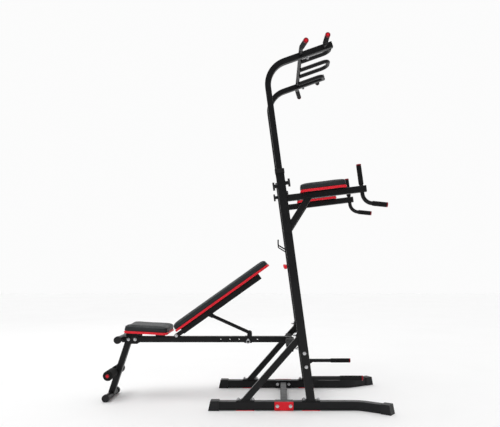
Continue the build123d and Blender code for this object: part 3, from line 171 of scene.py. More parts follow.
STITCH_TIP = 0.3         # share of its radius
STITCH_LIFT = 0.2


# ---------------------------------------------------------------- camera, light and world
def add_camera():
    data = bpy.data.cameras.new("camera")
    data.sensor_width = SENSOR_WIDTH
    data.lens = LENS
    data.shift_x = LENS_SHIFT_X
    data.shift_y = LENS_SHIFT_Y
    camera = bpy.data.objects.new("camera", data)
    scene.collection.objects.link(camera)
    camera.location = CAMERA_PLACE
    camera.rotation_euler = (math.radians(90), 0, 0)
    scene.camera = camera


def soft_light(name, place, size):
    """A large square light at place that faces the object."""
    data = bpy.data.lights.new(name, "AREA")
    data.shape = "SQUARE"
    data.size = size
    data.energy = AREA_LIGHT_POWER
    lamp = bpy.data.objects.new(name, data)
    scene.collection.objects.link(lamp)
    lamp.location = place
    lamp.rotation_mode = "QUATERNION"
    lamp.rotation_quaternion = (Vector(LIGHT_TARGET) - Vector(place)).to_track_quat("-Z", "Y")


def overhead_light():
    """One very soft overhead light that is even over the whole floor."""
    data = bpy.data.lights.new("overhead", "SUN")
    data.energy = SUN_STRENGTH
    data.angle = SUN_SPREAD
    lamp = bpy.data.objects.new("overhead", data)
    scene.collection.objects.link(lamp)
    lamp.rotation_euler = SUN_TURN


def studio_world():
    """A bright white sweep behind the object lights it, with a dimmer room on the camera's side."""
    world = bpy.data.worlds.new("studio")
    scene.world = world
    world.use_nodes = True
    sky = world.node_tree
    direction = sky.nodes.new("ShaderNodeTexCoord").outputs["Generated"]
    split_direction = sky.nodes.new("ShaderNodeSeparateXYZ")
    sky.links.new(direction, split_direction.inputs["Vector"])
    brightness = sky.nodes.new("ShaderNodeMapRange")
    brightness.interpolation_type = "SMOOTHSTEP"
    brightness.inputs["From Min"].default_value = SWEEP_START
    brightness.inputs["From Max"].default_value = SWEEP_FULL
    brightness.inputs["To Min"].default_value = ROOM_LIGHT
    brightness.inputs["To Max"].default_value = SWEEP_LIGHT
    sky.links.new(split_direction.outputs["Y"], brightness.inputs["Value"])

    # the camera itself sees the white sweep on every side
    seen_light = sky.nodes.new("ShaderNodeMix")
    sky.links.new(sky.nodes.new("ShaderNodeLightPath").outputs["Is Camera Ray"], seen_light.inputs["Factor"])
    sky.links.new(brightness.outputs["Result"], seen_light.inputs["A"])
    seen_light.inputs["B"].default_value = SWEEP_LIGHT
    background = sky.nodes["Background"]
    sky.links.new(seen_light.outputs["Result"], background.inputs["Strength"])
    background.inputs["Color"].default_value = (1.0, 1.0, 1.0, 1.0)


add_camera()
scene.view_settings.view_transform = "Standard"
soft_light("key", KEY_LIGHT_PLACE, KEY_LIGHT_SIZE)
soft_light("rear", REAR_LIGHT_PLACE, REAR_LIGHT_SIZE)
overhead_light()
studio_world()


# ---------------------------------------------------------------- materials
class Finish:
    """A procedural material under construction: a principled shader and the nodes that feed it."""

    def __init__(self, name, roughness, metallic=0.0):
        self.material = bpy.data.materials.new(name)
        self.material.use_nodes = True
        self.tree = self.material.node_tree
        self.shader = self.tree.nodes["Principled BSDF"]
        self.shader.inputs["Roughness"].default_value = roughness
        self.shader.inputs["Metallic"].default_value = metallic
        self.place = self.node("ShaderNodeTexCoord").outputs["Object"]

    def node(self, kind, **settings):
        made = self.tree.nodes.new(kind)
        for key, value in settings.items():
            setattr(made, key, value)
        return made

    def link(self, source, target):
        self.tree.links.new(source, target)

    def noise(self, scale, detail=3.0, roughness=0.55):
        """Value noise with `scale` features a metre."""
        made = self.node("ShaderNodeTexNoise")
        made.inputs["Scale"].default_value = scale
        made.inputs["Detail"].default_value = detail
        made.inputs["Roughness"].default_value = roughness
        self.link(self.place, made.inputs["Vector"])
        return made.outputs["Fac"]

    def cells(self, scale, feature="F1"):
        """Distance inside voronoi cells, `scale` cells a metre."""
        made = self.node("ShaderNodeTexVoronoi", feature=feature)
        made.inputs["Scale"].default_value = scale
        self.link(self.place, made.inputs["Vector"])
        return made.outputs["Distance"]

    def two_tone(self, source, dark, light, start=0.3, end=0.7):
        """Colour from dark to light while source goes from start to end."""
        made = self.node("ShaderNodeValToRGB")
        for element, position, colour in zip(made.color_ramp.elements, (start, end), (dark, light)):
            element.position = position
            element.color = (*colour, 1)
        self.link(source, made.inputs["Fac"])
        return made.outputs["Color"]

    def span(self, source, low, high, start=0.3, end=0.7):
        """Value from low to high while source goes from start to end."""
        made = self.node("ShaderNodeMapRange")
        made.inputs["From Min"].default_value = start
        made.inputs["From Max"].default_value = end
        made.inputs["To Min"].default_value = low
        made.inputs["To Max"].default_value = high
        self.link(source, made.inputs["Value"])
        return made.outputs["Result"]

    def blend(self, factor, source, colour):
        """The colour that comes from source, blended by factor into a plain colour."""
        made = self.node("ShaderNodeMix", data_type="RGBA")
        inputs = {socket.identifier: socket for socket in made.inputs}
        outputs = {socket.identifier: socket for socket in made.outputs}
        self.link(factor, inputs["Factor_Float"])
        self.link(source, inputs["A_Color"])
        inputs["B_Color"].default_value = (*colour, 1)
        return outputs["Result_Color"]

    def bump(self, height, strength, distance, under=None):
        """Normal of a relief of the given height, laid over the relief `under`."""
        made = self.node("ShaderNodeBump")
        made.inputs["Strength"].default_value = strength
        made.inputs["Distance"].default_value = distance
        self.link(height, made.inputs["Height"])
        if under is not None:
            self.link(under, made.inputs["Normal"])
        return made.outputs["Normal"]

    def done(self, colour, roughness=None, normal=None, gloss=0.5):
        """The material, with its shader fed by the given sockets."""
        for socket, source in (("Base Color", colour), ("Roughness", roughness), ("Normal", normal)):
            if source is not None:
                self.link(source, self.shader.inputs[socket])
        self.shader.inputs["Specular IOR Level"].default_value = gloss
        return self.material


def powder_coat(name, roughness, gloss):
    """Satin black powder coat: fine orange peel, faint mottling."""
    coat = Finish(name, roughness)
    colour = coat.two_tone(coat.noise(7, detail=4), (0.0043, 0.0046, 0.0052), (0.0072, 0.0075, 0.0083))
    peel = coat.bump(coat.noise(700, detail=2, roughness=0.5), strength=0.35, distance=0.0004)
    grit = coat.noise(2600, detail=2, roughness=0.6)
    speckle = coat.bump(grit, strength=0.12, distance=0.0002, under=peel)
    rough = coat.span(coat.noise(30, detail=5), roughness - 0.08, roughness + 0.08)
    return coat.done(colour, rough, speckle, gloss)


def glossy_red(name, dark, light, roughness=0.34):
    """Smooth painted or moulded red with a thin skin of texture."""
    paint = Finish(name, roughness)
    colour = paint.two_tone(paint.noise(9, detail=4), dark, light)
    rough = paint.span(paint.noise(60, detail=4), roughness - 0.06, roughness + 0.08)
    skin = paint.bump(paint.noise(900, detail=2, roughness=0.5), strength=0.18, distance=0.0003)
    return paint.done(colour, rough, skin, gloss=0.3)


def grained_vinyl(name, dark, light, roughness=0.5):
    """Vinyl upholstery with a pebble grain and a soft sheen."""
    vinyl = Finish(name, roughness)
    pebbles = vinyl.cells(620)
    creases = vinyl.cells(300, "DISTANCE_TO_EDGE")
    base = vinyl.two_tone(vinyl.noise(14, detail=5), dark, light)
    worn_tone = [channel * 1.4 for channel in light]
    worn = vinyl.blend(vinyl.span(pebbles, 0.0, 0.5, start=0.05, end=0.75), base, worn_tone)
    rough = vinyl.span(vinyl.noise(80, detail=4), roughness - 0.07, roughness + 0.1)
    grain = vinyl.bump(pebbles, strength=0.4, distance=0.0004)
    crease_depth = vinyl.span(creases, 0, 1, start=0.0, end=0.12)
    folds = vinyl.bump(crease_depth, strength=0.25, distance=0.0005, under=grain)
    soft = vinyl.bump(vinyl.noise(22), strength=0.25, distance=0.004, under=folds)
    return vinyl.done(worn, rough, soft, gloss=0.33)


def closed_cell_foam(name):
    """Closed-cell foam: dull, with fine pores."""
    foam = Finish(name, 0.9)
    colour = foam.two_tone(foam.noise(120, detail=5), (0.005, 0.005, 0.0052), (0.011, 0.011, 0.0115),
                           start=0.35, end=0.65)
    rough = foam.span(foam.noise(300), 0.78, 0.96)
    pores = foam.bump(foam.cells(900), strength=0.55, distance=0.0007)
    skin = foam.bump(foam.noise(240, detail=4), strength=0.3, distance=0.0008, under=pores)
    return foam.done(colour, rough, skin, gloss=0.25)


def zinc_plate(name):
    """Bright plated steel with fine turning marks."""
    zinc = Finish(name, 0.3, metallic=1.0)
    colour = zinc.two_tone(zinc.noise(60, detail=5), (0.50, 0.51, 0.53), (0.72, 0.72, 0.73))
    rough = zinc.span(zinc.noise(220, detail=4), 0.2, 0.42)
    return zinc.done(colour, rough, zinc.bump(zinc.noise(1500), strength=0.15, distance=0.0002))


def moulded_plastic(name, dark, light, roughness=0.5):
    """Moulded plastic or rubber with a fine texture over faint flow marks."""
    plastic = Finish(name, roughness)
    colour = plastic.two_tone(plastic.noise(25, detail=4), dark, light)
    rough = plastic.span(plastic.noise(90), roughness - 0.06, roughness + 0.08)
    texture = plastic.bump(plastic.noise(1300, detail=2, roughness=0.6), strength=0.3, distance=0.0003)
    flow = plastic.bump(plastic.noise(12, detail=2), strength=0.08, distance=0.002, under=texture)
    return plastic.done(colour, rough, flow, gloss=0.3)


def twisted_thread(name, light):
    """Sewing thread with fine darker mottling: painted shade for the gaps between its strands."""
    thread = Finish(name, 0.75)
    # a darker copy of the thread's own colour: painted shade for the gaps between strands
    dark = [channel * 0.6 for channel in light]
    colour = thread.two_tone(thread.noise(2500, detail=2), dark, light, start=0.35, end=0.65)
    strands = thread.bump(thread.noise(1800, detail=2), strength=0.4, distance=0.0003)
    return thread.done(colour, normal=strands)


def pale_floor(name):
    floor_paint = Finish(name, 0.7)
    return floor_paint.done(floor_paint.two_tone(floor_paint.noise(1.5, detail=4), [0.93] * 3, [0.95] * 3))


MATERIALS = {
    "black_steel": powder_coat("powder_coat_black", roughness=0.40, gloss=0.26),
    "red_trim": glossy_red("red_gloss", (0.80, 0.006, 0.018), (0.92, 0.010, 0.028)),
    "dark_red_cap": glossy_red("red_cap_dark", (0.22, 0.006, 0.014), (0.34, 0.010, 0.022), roughness=0.4),
    "foam_rubber": closed_cell_foam("foam_black"),
    "black_vinyl": grained_vinyl("vinyl_black", (0.011, 0.0132, 0.0146), (0.018, 0.0214, 0.0232)),
    "plated_bolt": zinc_plate("zinc_plated"),
    "black_plastic": moulded_plastic("plastic_black", (0.007, 0.007, 0.0077), (0.013, 0.013, 0.0143)),
    "grey_pad": moulded_plastic("rubber_grey", (0.16, 0.16, 0.165), (0.25, 0.25, 0.25), roughness=0.7),
}
RED_VINYL = grained_vinyl("vinyl_red", (0.74, 0.006, 0.017), (0.86, 0.009, 0.026), roughness=0.42)
UNDERSIDE = moulded_plastic("board_underside", [0.012] * 3, [0.022] * 3, roughness=0.8)
THREAD = twisted_thread("thread_black", (0.05, 0.052, 0.056))
# the welt is real, but its vinyl is lighter than the cushions': a painted highlight along each cushion's top
# edge
PIPING_PAINTED_HIGHLIGHT = grained_vinyl("vinyl_piping_painted_highlight", (0.030, 0.034, 0.037), (0.048, 0.053, 0.057), roughness=0.4)
DULL_STEEL = powder_coat("powder_coat_dull", roughness=0.68, gloss=0.12)


# ---------------------------------------------------------------- floor
def lay_floor():
    mesh = bpy.data.meshes.new("floor")
    corners = [(x * FLOOR_HALF, y * FLOOR_HALF, 0) for x, y in ((-1, -1), (1, -1), (1, 1), (-1, 1))]
    mesh.from_pydata(corners, [], [(0, 1, 2, 3)])
    mesh.materials.append(pale_floor("floor_pale"))
    floor = bpy.data.objects.new("floor", mesh)
    scene.collection.objects.link(floor)


lay_floor()

# ---------------------------------------------------------------- carried-over CAD nodes
DULL_NODES = ("brace_cross_tube", "upright_cross_tube")
SHARP_EDGED = ("red_plates", "crossmember", "rail_end_caps", "upright_collars", "arm_end_caps",
               "top_bar_caps", "bench_bar_caps", "bench_leg", "carriage", "upright_cross_tube",
               "rear_knob_left", "rear_knob_right", "front_knob_left", "front_knob_right")


def dress(node):
    """Gives a CAD node its one material."""
    piece = NODES[node]
    piece.data.materials.clear()
    piece.data.materials.append(DULL_STEEL if node in DULL_NODES else MATERIALS[SLOT_OF[node]])
    for polygon in piece.data.polygons:
        polygon.material_index = 0


def soften_edges(node):
    """Takes the hard corners off a CAD node with a modifier."""
    bevel = NODES[node].modifiers.new("edges", "BEVEL")
    bevel.width = BEVEL_WIDTH
    bevel.segments = BEVEL_SEGMENTS
    bevel.limit_method = "ANGLE"
    bevel.angle_limit = BEVEL_ANGLE


for cad_node in NODES:
    dress(cad_node)
for cad_node in SHARP_EDGED:
    soften_edges(cad_node)


# ---------------------------------------------------------------- helpers for new pieces
def add_piece(name, mesh, body, slot, material, *stands_for):
    """A new piece from a mesh, riding on a body and standing for CAD nodes."""
    piece = bpy.data.objects.new(name, mesh)
    scene.collection.objects.link(piece)
    if not mesh.materials:
        mesh.materials.append(material)
    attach(piece, body)
    if stands_for:
        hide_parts(*stands_for)
    return piece


def shade_smooth(mesh, angle=SMOOTH_ANGLE):
    """Smooth shading that stays sharp over angle."""
    work = bmesh.new()
    work.from_mesh(mesh)
    for face in work.faces:
        face.smooth = True
    for edge in work.edges:
        edge.smooth = not (edge.is_manifold and edge.calc_face_angle(0) > angle)
    work.to_mesh(mesh)
    work.free()


def shade_all_smooth(mesh):
    for polygon in mesh.polygons:
        polygon.use_smooth = True


def node_points(node):
    return [vertex.co.copy() for vertex in NODES[node].data.vertices]


def solids(node):
    """The separate solids of a CAD node, each as an array of its points."""
    points = np.array(node_points(node))
    number_of = {}
    rounded = [tuple(point) for point in np.round(points, NODE_MERGE_DIGITS)]
    merged = [number_of.setdefault(place, len(number_of)) for place in rounded]
    parent = list(range(len(number_of)))

    def root(number):
        while parent[number] != number:
            parent[number] = parent[parent[number]]
            number = parent[number]
        return number

    for polygon in NODES[node].data.polygons:
        corners = [root(merged[v]) for v in polygon.vertices]
        for corner in corners[1:]:
            parent[root(corner)] = root(corners[0])
    groups = {}
    for index, point in enumerate(points):
        groups.setdefault(root(merged[index]), []).append(point)
    return [np.array(group) for group in groups.values()]


def along_and_away(points, origin, direction):
    """How far along a line each point lies, and how far away from it."""
    offsets = points - origin
    along = offsets @ direction
    return along, np.linalg.norm(offsets - np.outer(along, direction), axis=1)


def round_axis(points):
    """Ends of a round solid's axis, and its outer radius: the direction whose rim is the most even."""
    centre = points.mean(0)
    candidates = []
    for direction in np.linalg.svd(points - centre, full_matrices=False)[2]:
        along, away = along_and_away(points, centre, direction)
        unevenness = away.max() - away[away > away.max() * RIM_SHARE].mean()
        ends = [Vector(centre + direction * reach) for reach in (along.min(), along.max())]
        candidates.append((unevenness, *ends, float(away.max())))
    return min(candidates, key=lambda candidate: candidate[0])[1:]


def circle(centre, side, other, radius, count):
    """Points of a circle in the plane of the directions side and other."""
    turns = [2 * math.pi * step / count for step in range(count)]
    return [centre + (side * math.cos(turn) + other * math.sin(turn)) * radius for turn in turns]


def ring_faces(ring_count, sides, closed=False):
    """Faces between rings of `sides` points that follow one another, and back to the first if closed."""
    faces = []
    for ring in range(ring_count if closed else ring_count - 1):
        low = ring * sides
        high = (ring + 1) % ring_count * sides
        for side in range(sides):
            following = (side + 1) % sides
            faces.append((low + side, low + following, high + following, high + side))
    return faces


def outward_mesh(name, points, faces):
    """Mesh with doubled points merged and all normals outwards."""
    mesh = bpy.data.meshes.new(name)
    mesh.from_pydata(points, [], faces)
    work = bmesh.new()
    work.from_mesh(mesh)
    bmesh.ops.remove_doubles(work, verts=work.verts, dist=MERGE_DISTANCE)
    bmesh.ops.recalc_face_normals(work, faces=work.faces)
    work.to_mesh(mesh)
    work.free()
    return mesh


def lathe(name, start, end, profile, sides):
    """Mesh of a profile of (distance along, radius) pairs turned about the line from start to end."""
    axis = (end - start).normalized()
    side = axis.orthogonal().normalized()
    other = axis.cross(side)
    points = []
    for along, radius in profile:
        points += circle(start + axis * along, side, other, radius, sides)
    return outward_mesh(name, points, ring_faces(len(profile), sides))


def closed_tube(name, ring, radii, sides):
    """Smooth closed tube through a ring of (point, outward direction) pairs, with a radius at each."""
    points = []
    for index, (point, outward) in enumerate(ring):
        ahead = (ring[(index + 1) % len(ring)][0] - ring[index - 1][0]).normalized()
        points += circle(point, outward, ahead.cross(outward), radii[index], sides)
    mesh = outward_mesh(name, points, ring_faces(len(ring), sides, closed=True))
    shade_all_smooth(mesh)
    return mesh


def segment_lengths(line):
    return [(end - start).length for start, end in zip(line, line[1:])]


def line_length(line):
    return sum(segment_lengths(line))


def even_steps(line, count):
    """Cuts a line of points into equal steps: (number of the segment, point) at the start of each."""
    lengths = segment_lengths(line)
    total = line_length(line)
    steps = []
    index = 0
    passed = 0.0
    for step in range(count):
        target = total * step / count
        while index < len(lengths) - 1 and passed + lengths[index] < target:
            passed += lengths[index]
            index += 1
        share = (target - passed) / max(lengths[index], TINY)
        steps.append((index, line[index].lerp(line[index + 1], min(share, 1.0))))
    return steps


def join(name, meshes):
    """One mesh from several."""
    work = bmesh.new()
    for mesh in meshes:
        work.from_mesh(mesh)
        bpy.data.meshes.remove(mesh)
    joined = bpy.data.meshes.new(name)
    work.to_mesh(joined)
    work.free()
    return joined


# ---------------------------------------------------------------- foam grips and rollers
def rounded_sleeve(length, outer, inner, lip):
    """Profile of a foam sleeve with rounded ends, closed through its bore."""
    turns = [math.pi / 2 * step / LIP_STEPS for step in range(LIP_STEPS + 1)]
    profile = [(0.0, inner)]
    profile += [(lip - lip * math.cos(turn), outer - lip + lip * math.sin(turn)) for turn in turns]
    profile += [(length - lip + lip * math.sin(turn), outer - lip + lip * math.cos(turn)) for turn in turns]
    profile += [(length, inner), (0.0, inner)]
    return profile


def foam_sleeves(node, suffix, bore, lip, sides):
    """Rounded foam sleeves in place of a CAD node's plain ones."""
    meshes = []
    for index, points in enumerate(solids(node)):
        start, end, outer = round_axis(points)
        profile = rounded_sleeve((end - start).length, outer, bore, lip)
        meshes.append(lathe(f"{node}_{index}", start, end, profile, sides))
    name = f"{node}_{suffix}"
    mesh = join(name, meshes)
    shade_smooth(mesh)
    piece = add_piece(name, mesh, BODY_OF[node], SLOT_OF[node], MATERIALS[SLOT_OF[node]], node)


for grips in ("foam_grips", "top_foam"):
    foam_sleeves(grips, "sleeves", BAR_RADIUS, SLEEVE_LIP, SLEEVE_SIDES)
for side in PAIR:
    foam_sleeves(f"roller_{side}", "foam", ROLLER_AXLE_RADIUS, ROLLER_LIP, ROLLER_SIDES)


# ---------------------------------------------------------------- caps with a button in a darker rim
def cap_profile(length, outer):
    """Profile of a domed cap with a raised button inside a groove."""
    lip = length * CAP_LIP
    button = outer * BUTTON_WIDTH
    profile = [(0.0, 0.0), (0.0, outer)]
    for step in range(LIP_STEPS + 1):
        turn = math.pi / 2 * step / LIP_STEPS
        along = length - lip + lip * math.sin(turn) * CAP_LIP_SINK
        profile.append((along, outer - lip + lip * math.cos(turn)))
    profile += [(length * along, button * across) for along, across in CAP_FACE]
    return profile


def wide_end_first(points, start, end):
    """The two ends of a cap's axis, the wider end first."""
    along, away = along_and_away(points, np.array(start), np.array((end - start).normalized()))
    width_at_start = away[along < along.min() + CAP_END_DEPTH].max()
    width_at_end = away[along > along.max() - CAP_END_DEPTH].max()
    return (end, start) if width_at_start < width_at_end else (start, end)


def button_caps(node, button_material):
    """Domed caps in place of a CAD node's, each open end towards its grip."""
    meshes = []
    for index, points in enumerate(solids(node)):
        start, end, outer = round_axis(points)
        start, end = wide_end_first(points, start, end)
        profile = cap_profile((end - start).length, outer)
        meshes.append(lathe(f"{node}_{index}", start, end, profile, CAP_SIDES))
    cap_count = len(meshes)
    mesh = join(f"{node}_domed", meshes)
    mesh.materials.append(MATERIALS["dark_red_cap"])
    mesh.materials.append(button_material)
    faces_per_cap = len(mesh.polygons) // cap_count
    for polygon in mesh.polygons:
        if polygon.index % faces_per_cap >= faces_per_cap - BUTTON_RINGS * CAP_SIDES:
            polygon.material_index = 1
    shade_smooth(mesh)
    add_piece(f"{node}_domed", mesh, BODY_OF[node], SLOT_OF[node], MATERIALS[SLOT_OF[node]], node)


button_caps("top_grip_caps", MATERIALS["red_trim"])
button_caps("roller_caps", MATERIALS["red_trim"])
button_caps("handle_caps", MATERIALS["dark_red_cap"])


# ---------------------------------------------------------------- weld beads
def section_outlines(node, point, normal):
    """The closed outlines where a plane cuts a CAD node, each a list of points that ends where it starts."""
    work = bmesh.new()
    work.from_mesh(NODES[node].data)
    bmesh.ops.remove_doubles(work, verts=work.verts, dist=10 ** -NODE_MERGE_DIGITS)
    geometry = list(work.verts) + list(work.edges) + list(work.faces)
    cut = bmesh.ops.bisect_plane(work, geom=geometry, plane_co=point, plane_no=normal)["geom_cut"]
    edges = [element for element in cut if isinstance(element, bmesh.types.BMEdge)]
    outlines = []
    while edges:
        chain = list(edges.pop().verts)
        following = [edge for edge in chain[-1].link_edges if edge in edges]
        while following:
            edges.remove(following[0])
            chain.append(following[0].other_vert(chain[-1]))
            following = [edge for edge in chain[-1].link_edges if edge in edges]
        outlines.append([vertex.co.copy() for vertex in chain])
    work.free()
    return outlines


def bead(outline, name):
    """Rippled weld bead along a closed outline."""
    count = int(line_length(outline) / (RIPPLE_PITCH / RIPPLE_STEPS))
    samples = [point for index, point in even_steps(outline, count)]
    centre = sum(samples, Vector()) / count
    ring = []
    radii = []
    for step, sample in enumerate(samples):
        ahead = (samples[(step + 1) % count] - samples[step - 1]).normalized()
        outward = sample - centre
        ring.append((sample, (outward - ahead * outward.dot(ahead)).normalized()))
        ripple = RIPPLE_DEPTH * math.sin(2 * math.pi * step / RIPPLE_STEPS)
        wander = WANDER_DEPTH * math.sin(step * WANDER_RATE)
        radii.append(BEAD_RADIUS * (1 + ripple + wander))
    return closed_tube(name, ring, radii, BEAD_SIDES)


def weld_round(name, nodes, point, normal):
    """Weld beads round CAD nodes of one body where a plane cuts them."""
    meshes = []
    for node in nodes:
        outlines = section_outlines(node, point, normal)
        if outlines:
            meshes.append(bead(max(outlines, key=line_length), f"{name}_{node}"))
    add_piece(name, join(name, meshes), BODY_OF[nodes[0]], "black_steel", MATERIALS["black_steel"])


UPRIGHTS = [f"upright_{side}" for side in PAIR]
BRACES = [f"brace_{side}" for side in PAIR]
DIP_ARMS = [f"dip_arm_{side}" for side in PAIR]
weld_round("foot_welds", UPRIGHTS + BRACES, (0, 0, FOOT_FLANGE_TOP + BEAD_OFFSET), (0, 0, 1))
weld_round("brace_head_welds", BRACES, BRACE_FLANGE - FRONT * BEAD_OFFSET, FRONT)
weld_round("arm_welds", DIP_ARMS, UPRIGHT_FACE + FRONT * BEAD_OFFSET, FRONT)


# ---------------------------------------------------------------- pads
class PadFrame:
    """Local axes and extent of a tilted pad: u along it, v across (+Y), w out of its face."""

    def __init__(self, points, tilt):
        self.u = Vector((math.cos(tilt), 0, math.sin(tilt)))
        self.v = Vector((0, 1, 0))
        self.w = Vector((-math.sin(tilt), 0, math.cos(tilt)))
        spans = [[Vector(point).dot(axis) for point in points] for axis in (self.u, self.v, self.w)]
        self.low = [min(span) for span in spans]
        self.high = [max(span) for span in spans]
        self.size = [high - low for low, high in zip(self.low, self.high)]

    def place(self, u, v, w):
        """World point for u and v from the pad's centre and w from its base."""
        centre_u = (self.low[0] + self.high[0]) / 2
        centre_v = (self.low[1] + self.high[1]) / 2
        return self.u * (centre_u + u) + self.v * (centre_v + v) + self.w * (self.low[2] + w)


def pad_outline(length, width, pull, step=OUTLINE_STEP):
    """Rounded rectangle whose sides pull in by `pull` between corners, as (u, v, outward normal) triples."""
    points = []
    half_u = length / 2
    half_v = width / 2
    straight_u = half_u - PAD_CORNER
    straight_v = half_v - PAD_CORNER

    def side(count, start, end, normal):
        for index in range(count):
            share = index / count
            u = start[0] + (end[0] - start[0]) * share
            v = start[1] + (end[1] - start[1]) * share
            inward = pull * math.sin(math.pi * share) ** 2
            points.append((u - normal[0] * inward, v - normal[1] * inward, normal))

    def arc(centre, first):
        for index in range(CORNER_STEPS):
            turn = first + math.pi / 2 * index / CORNER_STEPS
            normal = (math.cos(turn), math.sin(turn))
            points.append((centre[0] + PAD_CORNER * normal[0], centre[1] + PAD_CORNER * normal[1], normal))

    count_u = max(4, round(2 * straight_u / step))
    count_v = max(4, round(2 * straight_v / step))
    side(count_v, (half_u, -straight_v), (half_u, straight_v), (1, 0))
    arc((straight_u, straight_v), 0)
    side(count_u, (straight_u, half_v), (-straight_u, half_v), (0, 1))
    arc((-straight_u, straight_v), math.pi / 2)
    side(count_v, (-half_u, straight_v), (-half_u, -straight_v), (-1, 0))
    arc((-straight_u, -straight_v), math.pi)
    side(count_u, (-straight_u, -half_v), (straight_u, -half_v), (0, -1))
    arc((straight_u, -straight_v), 3 * math.pi / 2)
    return points


def stacked_mesh(name, pad, outline, rings):
    """Closed mesh of the outline at each ring's (inset, height), capped at both ends."""
    points = []
    for inset, height in rings:
        for u, v, normal in outline:
            points.append(pad.place(u - normal[0] * inset, v - normal[1] * inset, height))
    count = len(outline)
    faces = ring_faces(len(rings), count)
    faces.append(tuple(reversed(range(count))))
    faces.append(tuple(range(len(points) - count, len(points))))
    mesh = bpy.data.meshes.new(name)
    mesh.from_pydata(points, [], faces)
    return mesh


def surface_ring(piece, pad, outline, height, sink=0.0, flush_end=0):
    """Points round the piece's side at a height, and the outward direction at each.

    Towards flush_end (+1 or -1 along the pad) they lie deep enough for a piping to stay under the surface.
    """
    tree = BVHTree.FromObject(piece, bpy.context.evaluated_depsgraph_get())
    ring = []
    for u, v, normal in outline:
        outward = pad.u * normal[0] + pad.v * normal[1]
        hit = tree.ray_cast(pad.place(u, v, height) + outward * PROBE_START, -outward, PROBE_REACH)[0]
        if hit is not None:
            depth = sink + PIPING_RADIUS * max(0.0, normal[0] * flush_end)
            ring.append((hit - outward * depth, outward))
    return ring


# ---------------------------------------------------------------- cushions
def voxel_remesh(piece):
    """Remeshes a piece into even quads."""
    bpy.context.view_layer.objects.active = piece
    remesh = piece.modifiers.new("remesh", "REMESH")
    remesh.mode = "VOXEL"
    remesh.voxel_size = VOXEL
    bpy.context.view_layer.update()
    graph = bpy.context.evaluated_depsgraph_get()
    even_mesh = bpy.data.meshes.new_from_object(piece.evaluated_get(graph))
    piece.modifiers.clear()
    piece.data = even_mesh


def inflate(piece, pad, travel):
    """Swells a closed pad by cloth simulation, its base held, and lets no point move further than travel."""
    start = np.array([v.co for v in piece.data.vertices])
    heights = start @ np.array(pad.w) - pad.low[2]
    held = piece.vertex_groups.new(name=CLOTH_SETTINGS["vertex_group_mass"])
    for index, height in enumerate(heights):
        held.add([index], 1.0 if height < HELD_HEIGHT else 0.0, "REPLACE")
    cloth = piece.modifiers.new("cloth", "CLOTH")
    for setting, value in CLOTH_SETTINGS.items():
        setattr(cloth.settings, setting, value)
    cloth.settings.effector_weights.gravity = 0
    cloth.point_cache.frame_start = 1
    cloth.point_cache.frame_end = SIMULATED_FRAMES
    for step in range(1, SIMULATED_FRAMES + 1):
        scene.frame_set(step)
    graph = bpy.context.evaluated_depsgraph_get()
    swollen = bpy.data.meshes.new_from_object(piece.evaluated_get(graph))
    moved = np.array([v.co for v in swollen.vertices]) - start
    scene.frame_set(1)
    piece.modifiers.clear()
    reach = np.linalg.norm(moved, axis=1)
    capped = travel * np.tanh(reach / travel)
    moved *= (capped / np.maximum(reach, TINY))[:, None]
    piece.data.vertices.foreach_set("co", (start + moved).ravel())
    bpy.data.meshes.remove(swollen)
    piece.vertex_groups.clear()


def relax(mesh, pad, rounds):
    """Evens the surface out by moving each vertex above the pad's foot towards its neighbours."""
    foot = pad.low[2] + FOOT_RISE
    work = bmesh.new()
    work.from_mesh(mesh)
    for _ in range(rounds):
        free = [v for v in work.verts if v.co.dot(pad.w) >= foot]
        bmesh.ops.smooth_vert(work, verts=free, factor=RELAX_SHARE, use_axis_x=True, use_axis_y=True,
                              use_axis_z=True)
    for face in work.faces:
        face.smooth = True
    work.to_mesh(mesh)
    work.free()


def round_nose(mesh, pad, end, radius):
    """Keeps the cushion's top edge at one end (+1 or -1 along u) inside a rounding of the given radius."""
    along = np.array(pad.u)
    up = np.array(pad.w)
    points = np.array([v.co for v in mesh.vertices])
    limit = pad.high[0] if end > 0 else -pad.low[0]
    out = points @ along * end - (limit - radius)
    rise = points @ up - (pad.high[2] - radius)
    reach = np.hypot(out, rise)
    outside = (out > 0) & (rise > 0) & (reach > radius)
    shrink = np.where(outside, radius / np.maximum(reach, TINY) - 1, 0.0)
    points += np.outer(out * shrink * end, along) + np.outer(rise * shrink, up)
    mesh.vertices.foreach_set("co", points.ravel())


def cushion(label, node, pad, nose):
    """A crowned cushion in place of a CAD node. nose is None or the (end, radius) of a rounded end."""
    length, width, thickness = pad.size
    outline = pad_outline(length - CUSHION_INSET, width - CUSHION_INSET, SIDE_PULL)
    top = thickness - CUSHION_CROWN
    bulge = CUSHION_EDGE * EDGE_BULGE
    rings = [(CUSHION_INSET, 0.0), (0.0, FOOT_RISE), (0.0, top - CUSHION_EDGE), (bulge, top - bulge),
             (CUSHION_EDGE, top)]
    mesh = stacked_mesh(f"{label}_cushion", pad, outline, rings)
    piece = add_piece(f"{label}_cushion", mesh, BODY_OF[node], SLOT_OF[node], MATERIALS["black_vinyl"], node)
    voxel_remesh(piece)
    inflate(piece, pad, CUSHION_CROWN * CUSHION_TRAVEL)
    relax(piece.data, pad, RELAX_ROUNDS)
    if nose is not None:
        round_nose(piece.data, pad, *nose)
        relax(piece.data, pad, rounds=1)
    if not piece.data.materials:
        piece.data.materials.append(MATERIALS["black_vinyl"])
    piece.modifiers.new("smooth", "SUBSURF").render_levels = 1
    bpy.context.view_layer.update()
    return piece


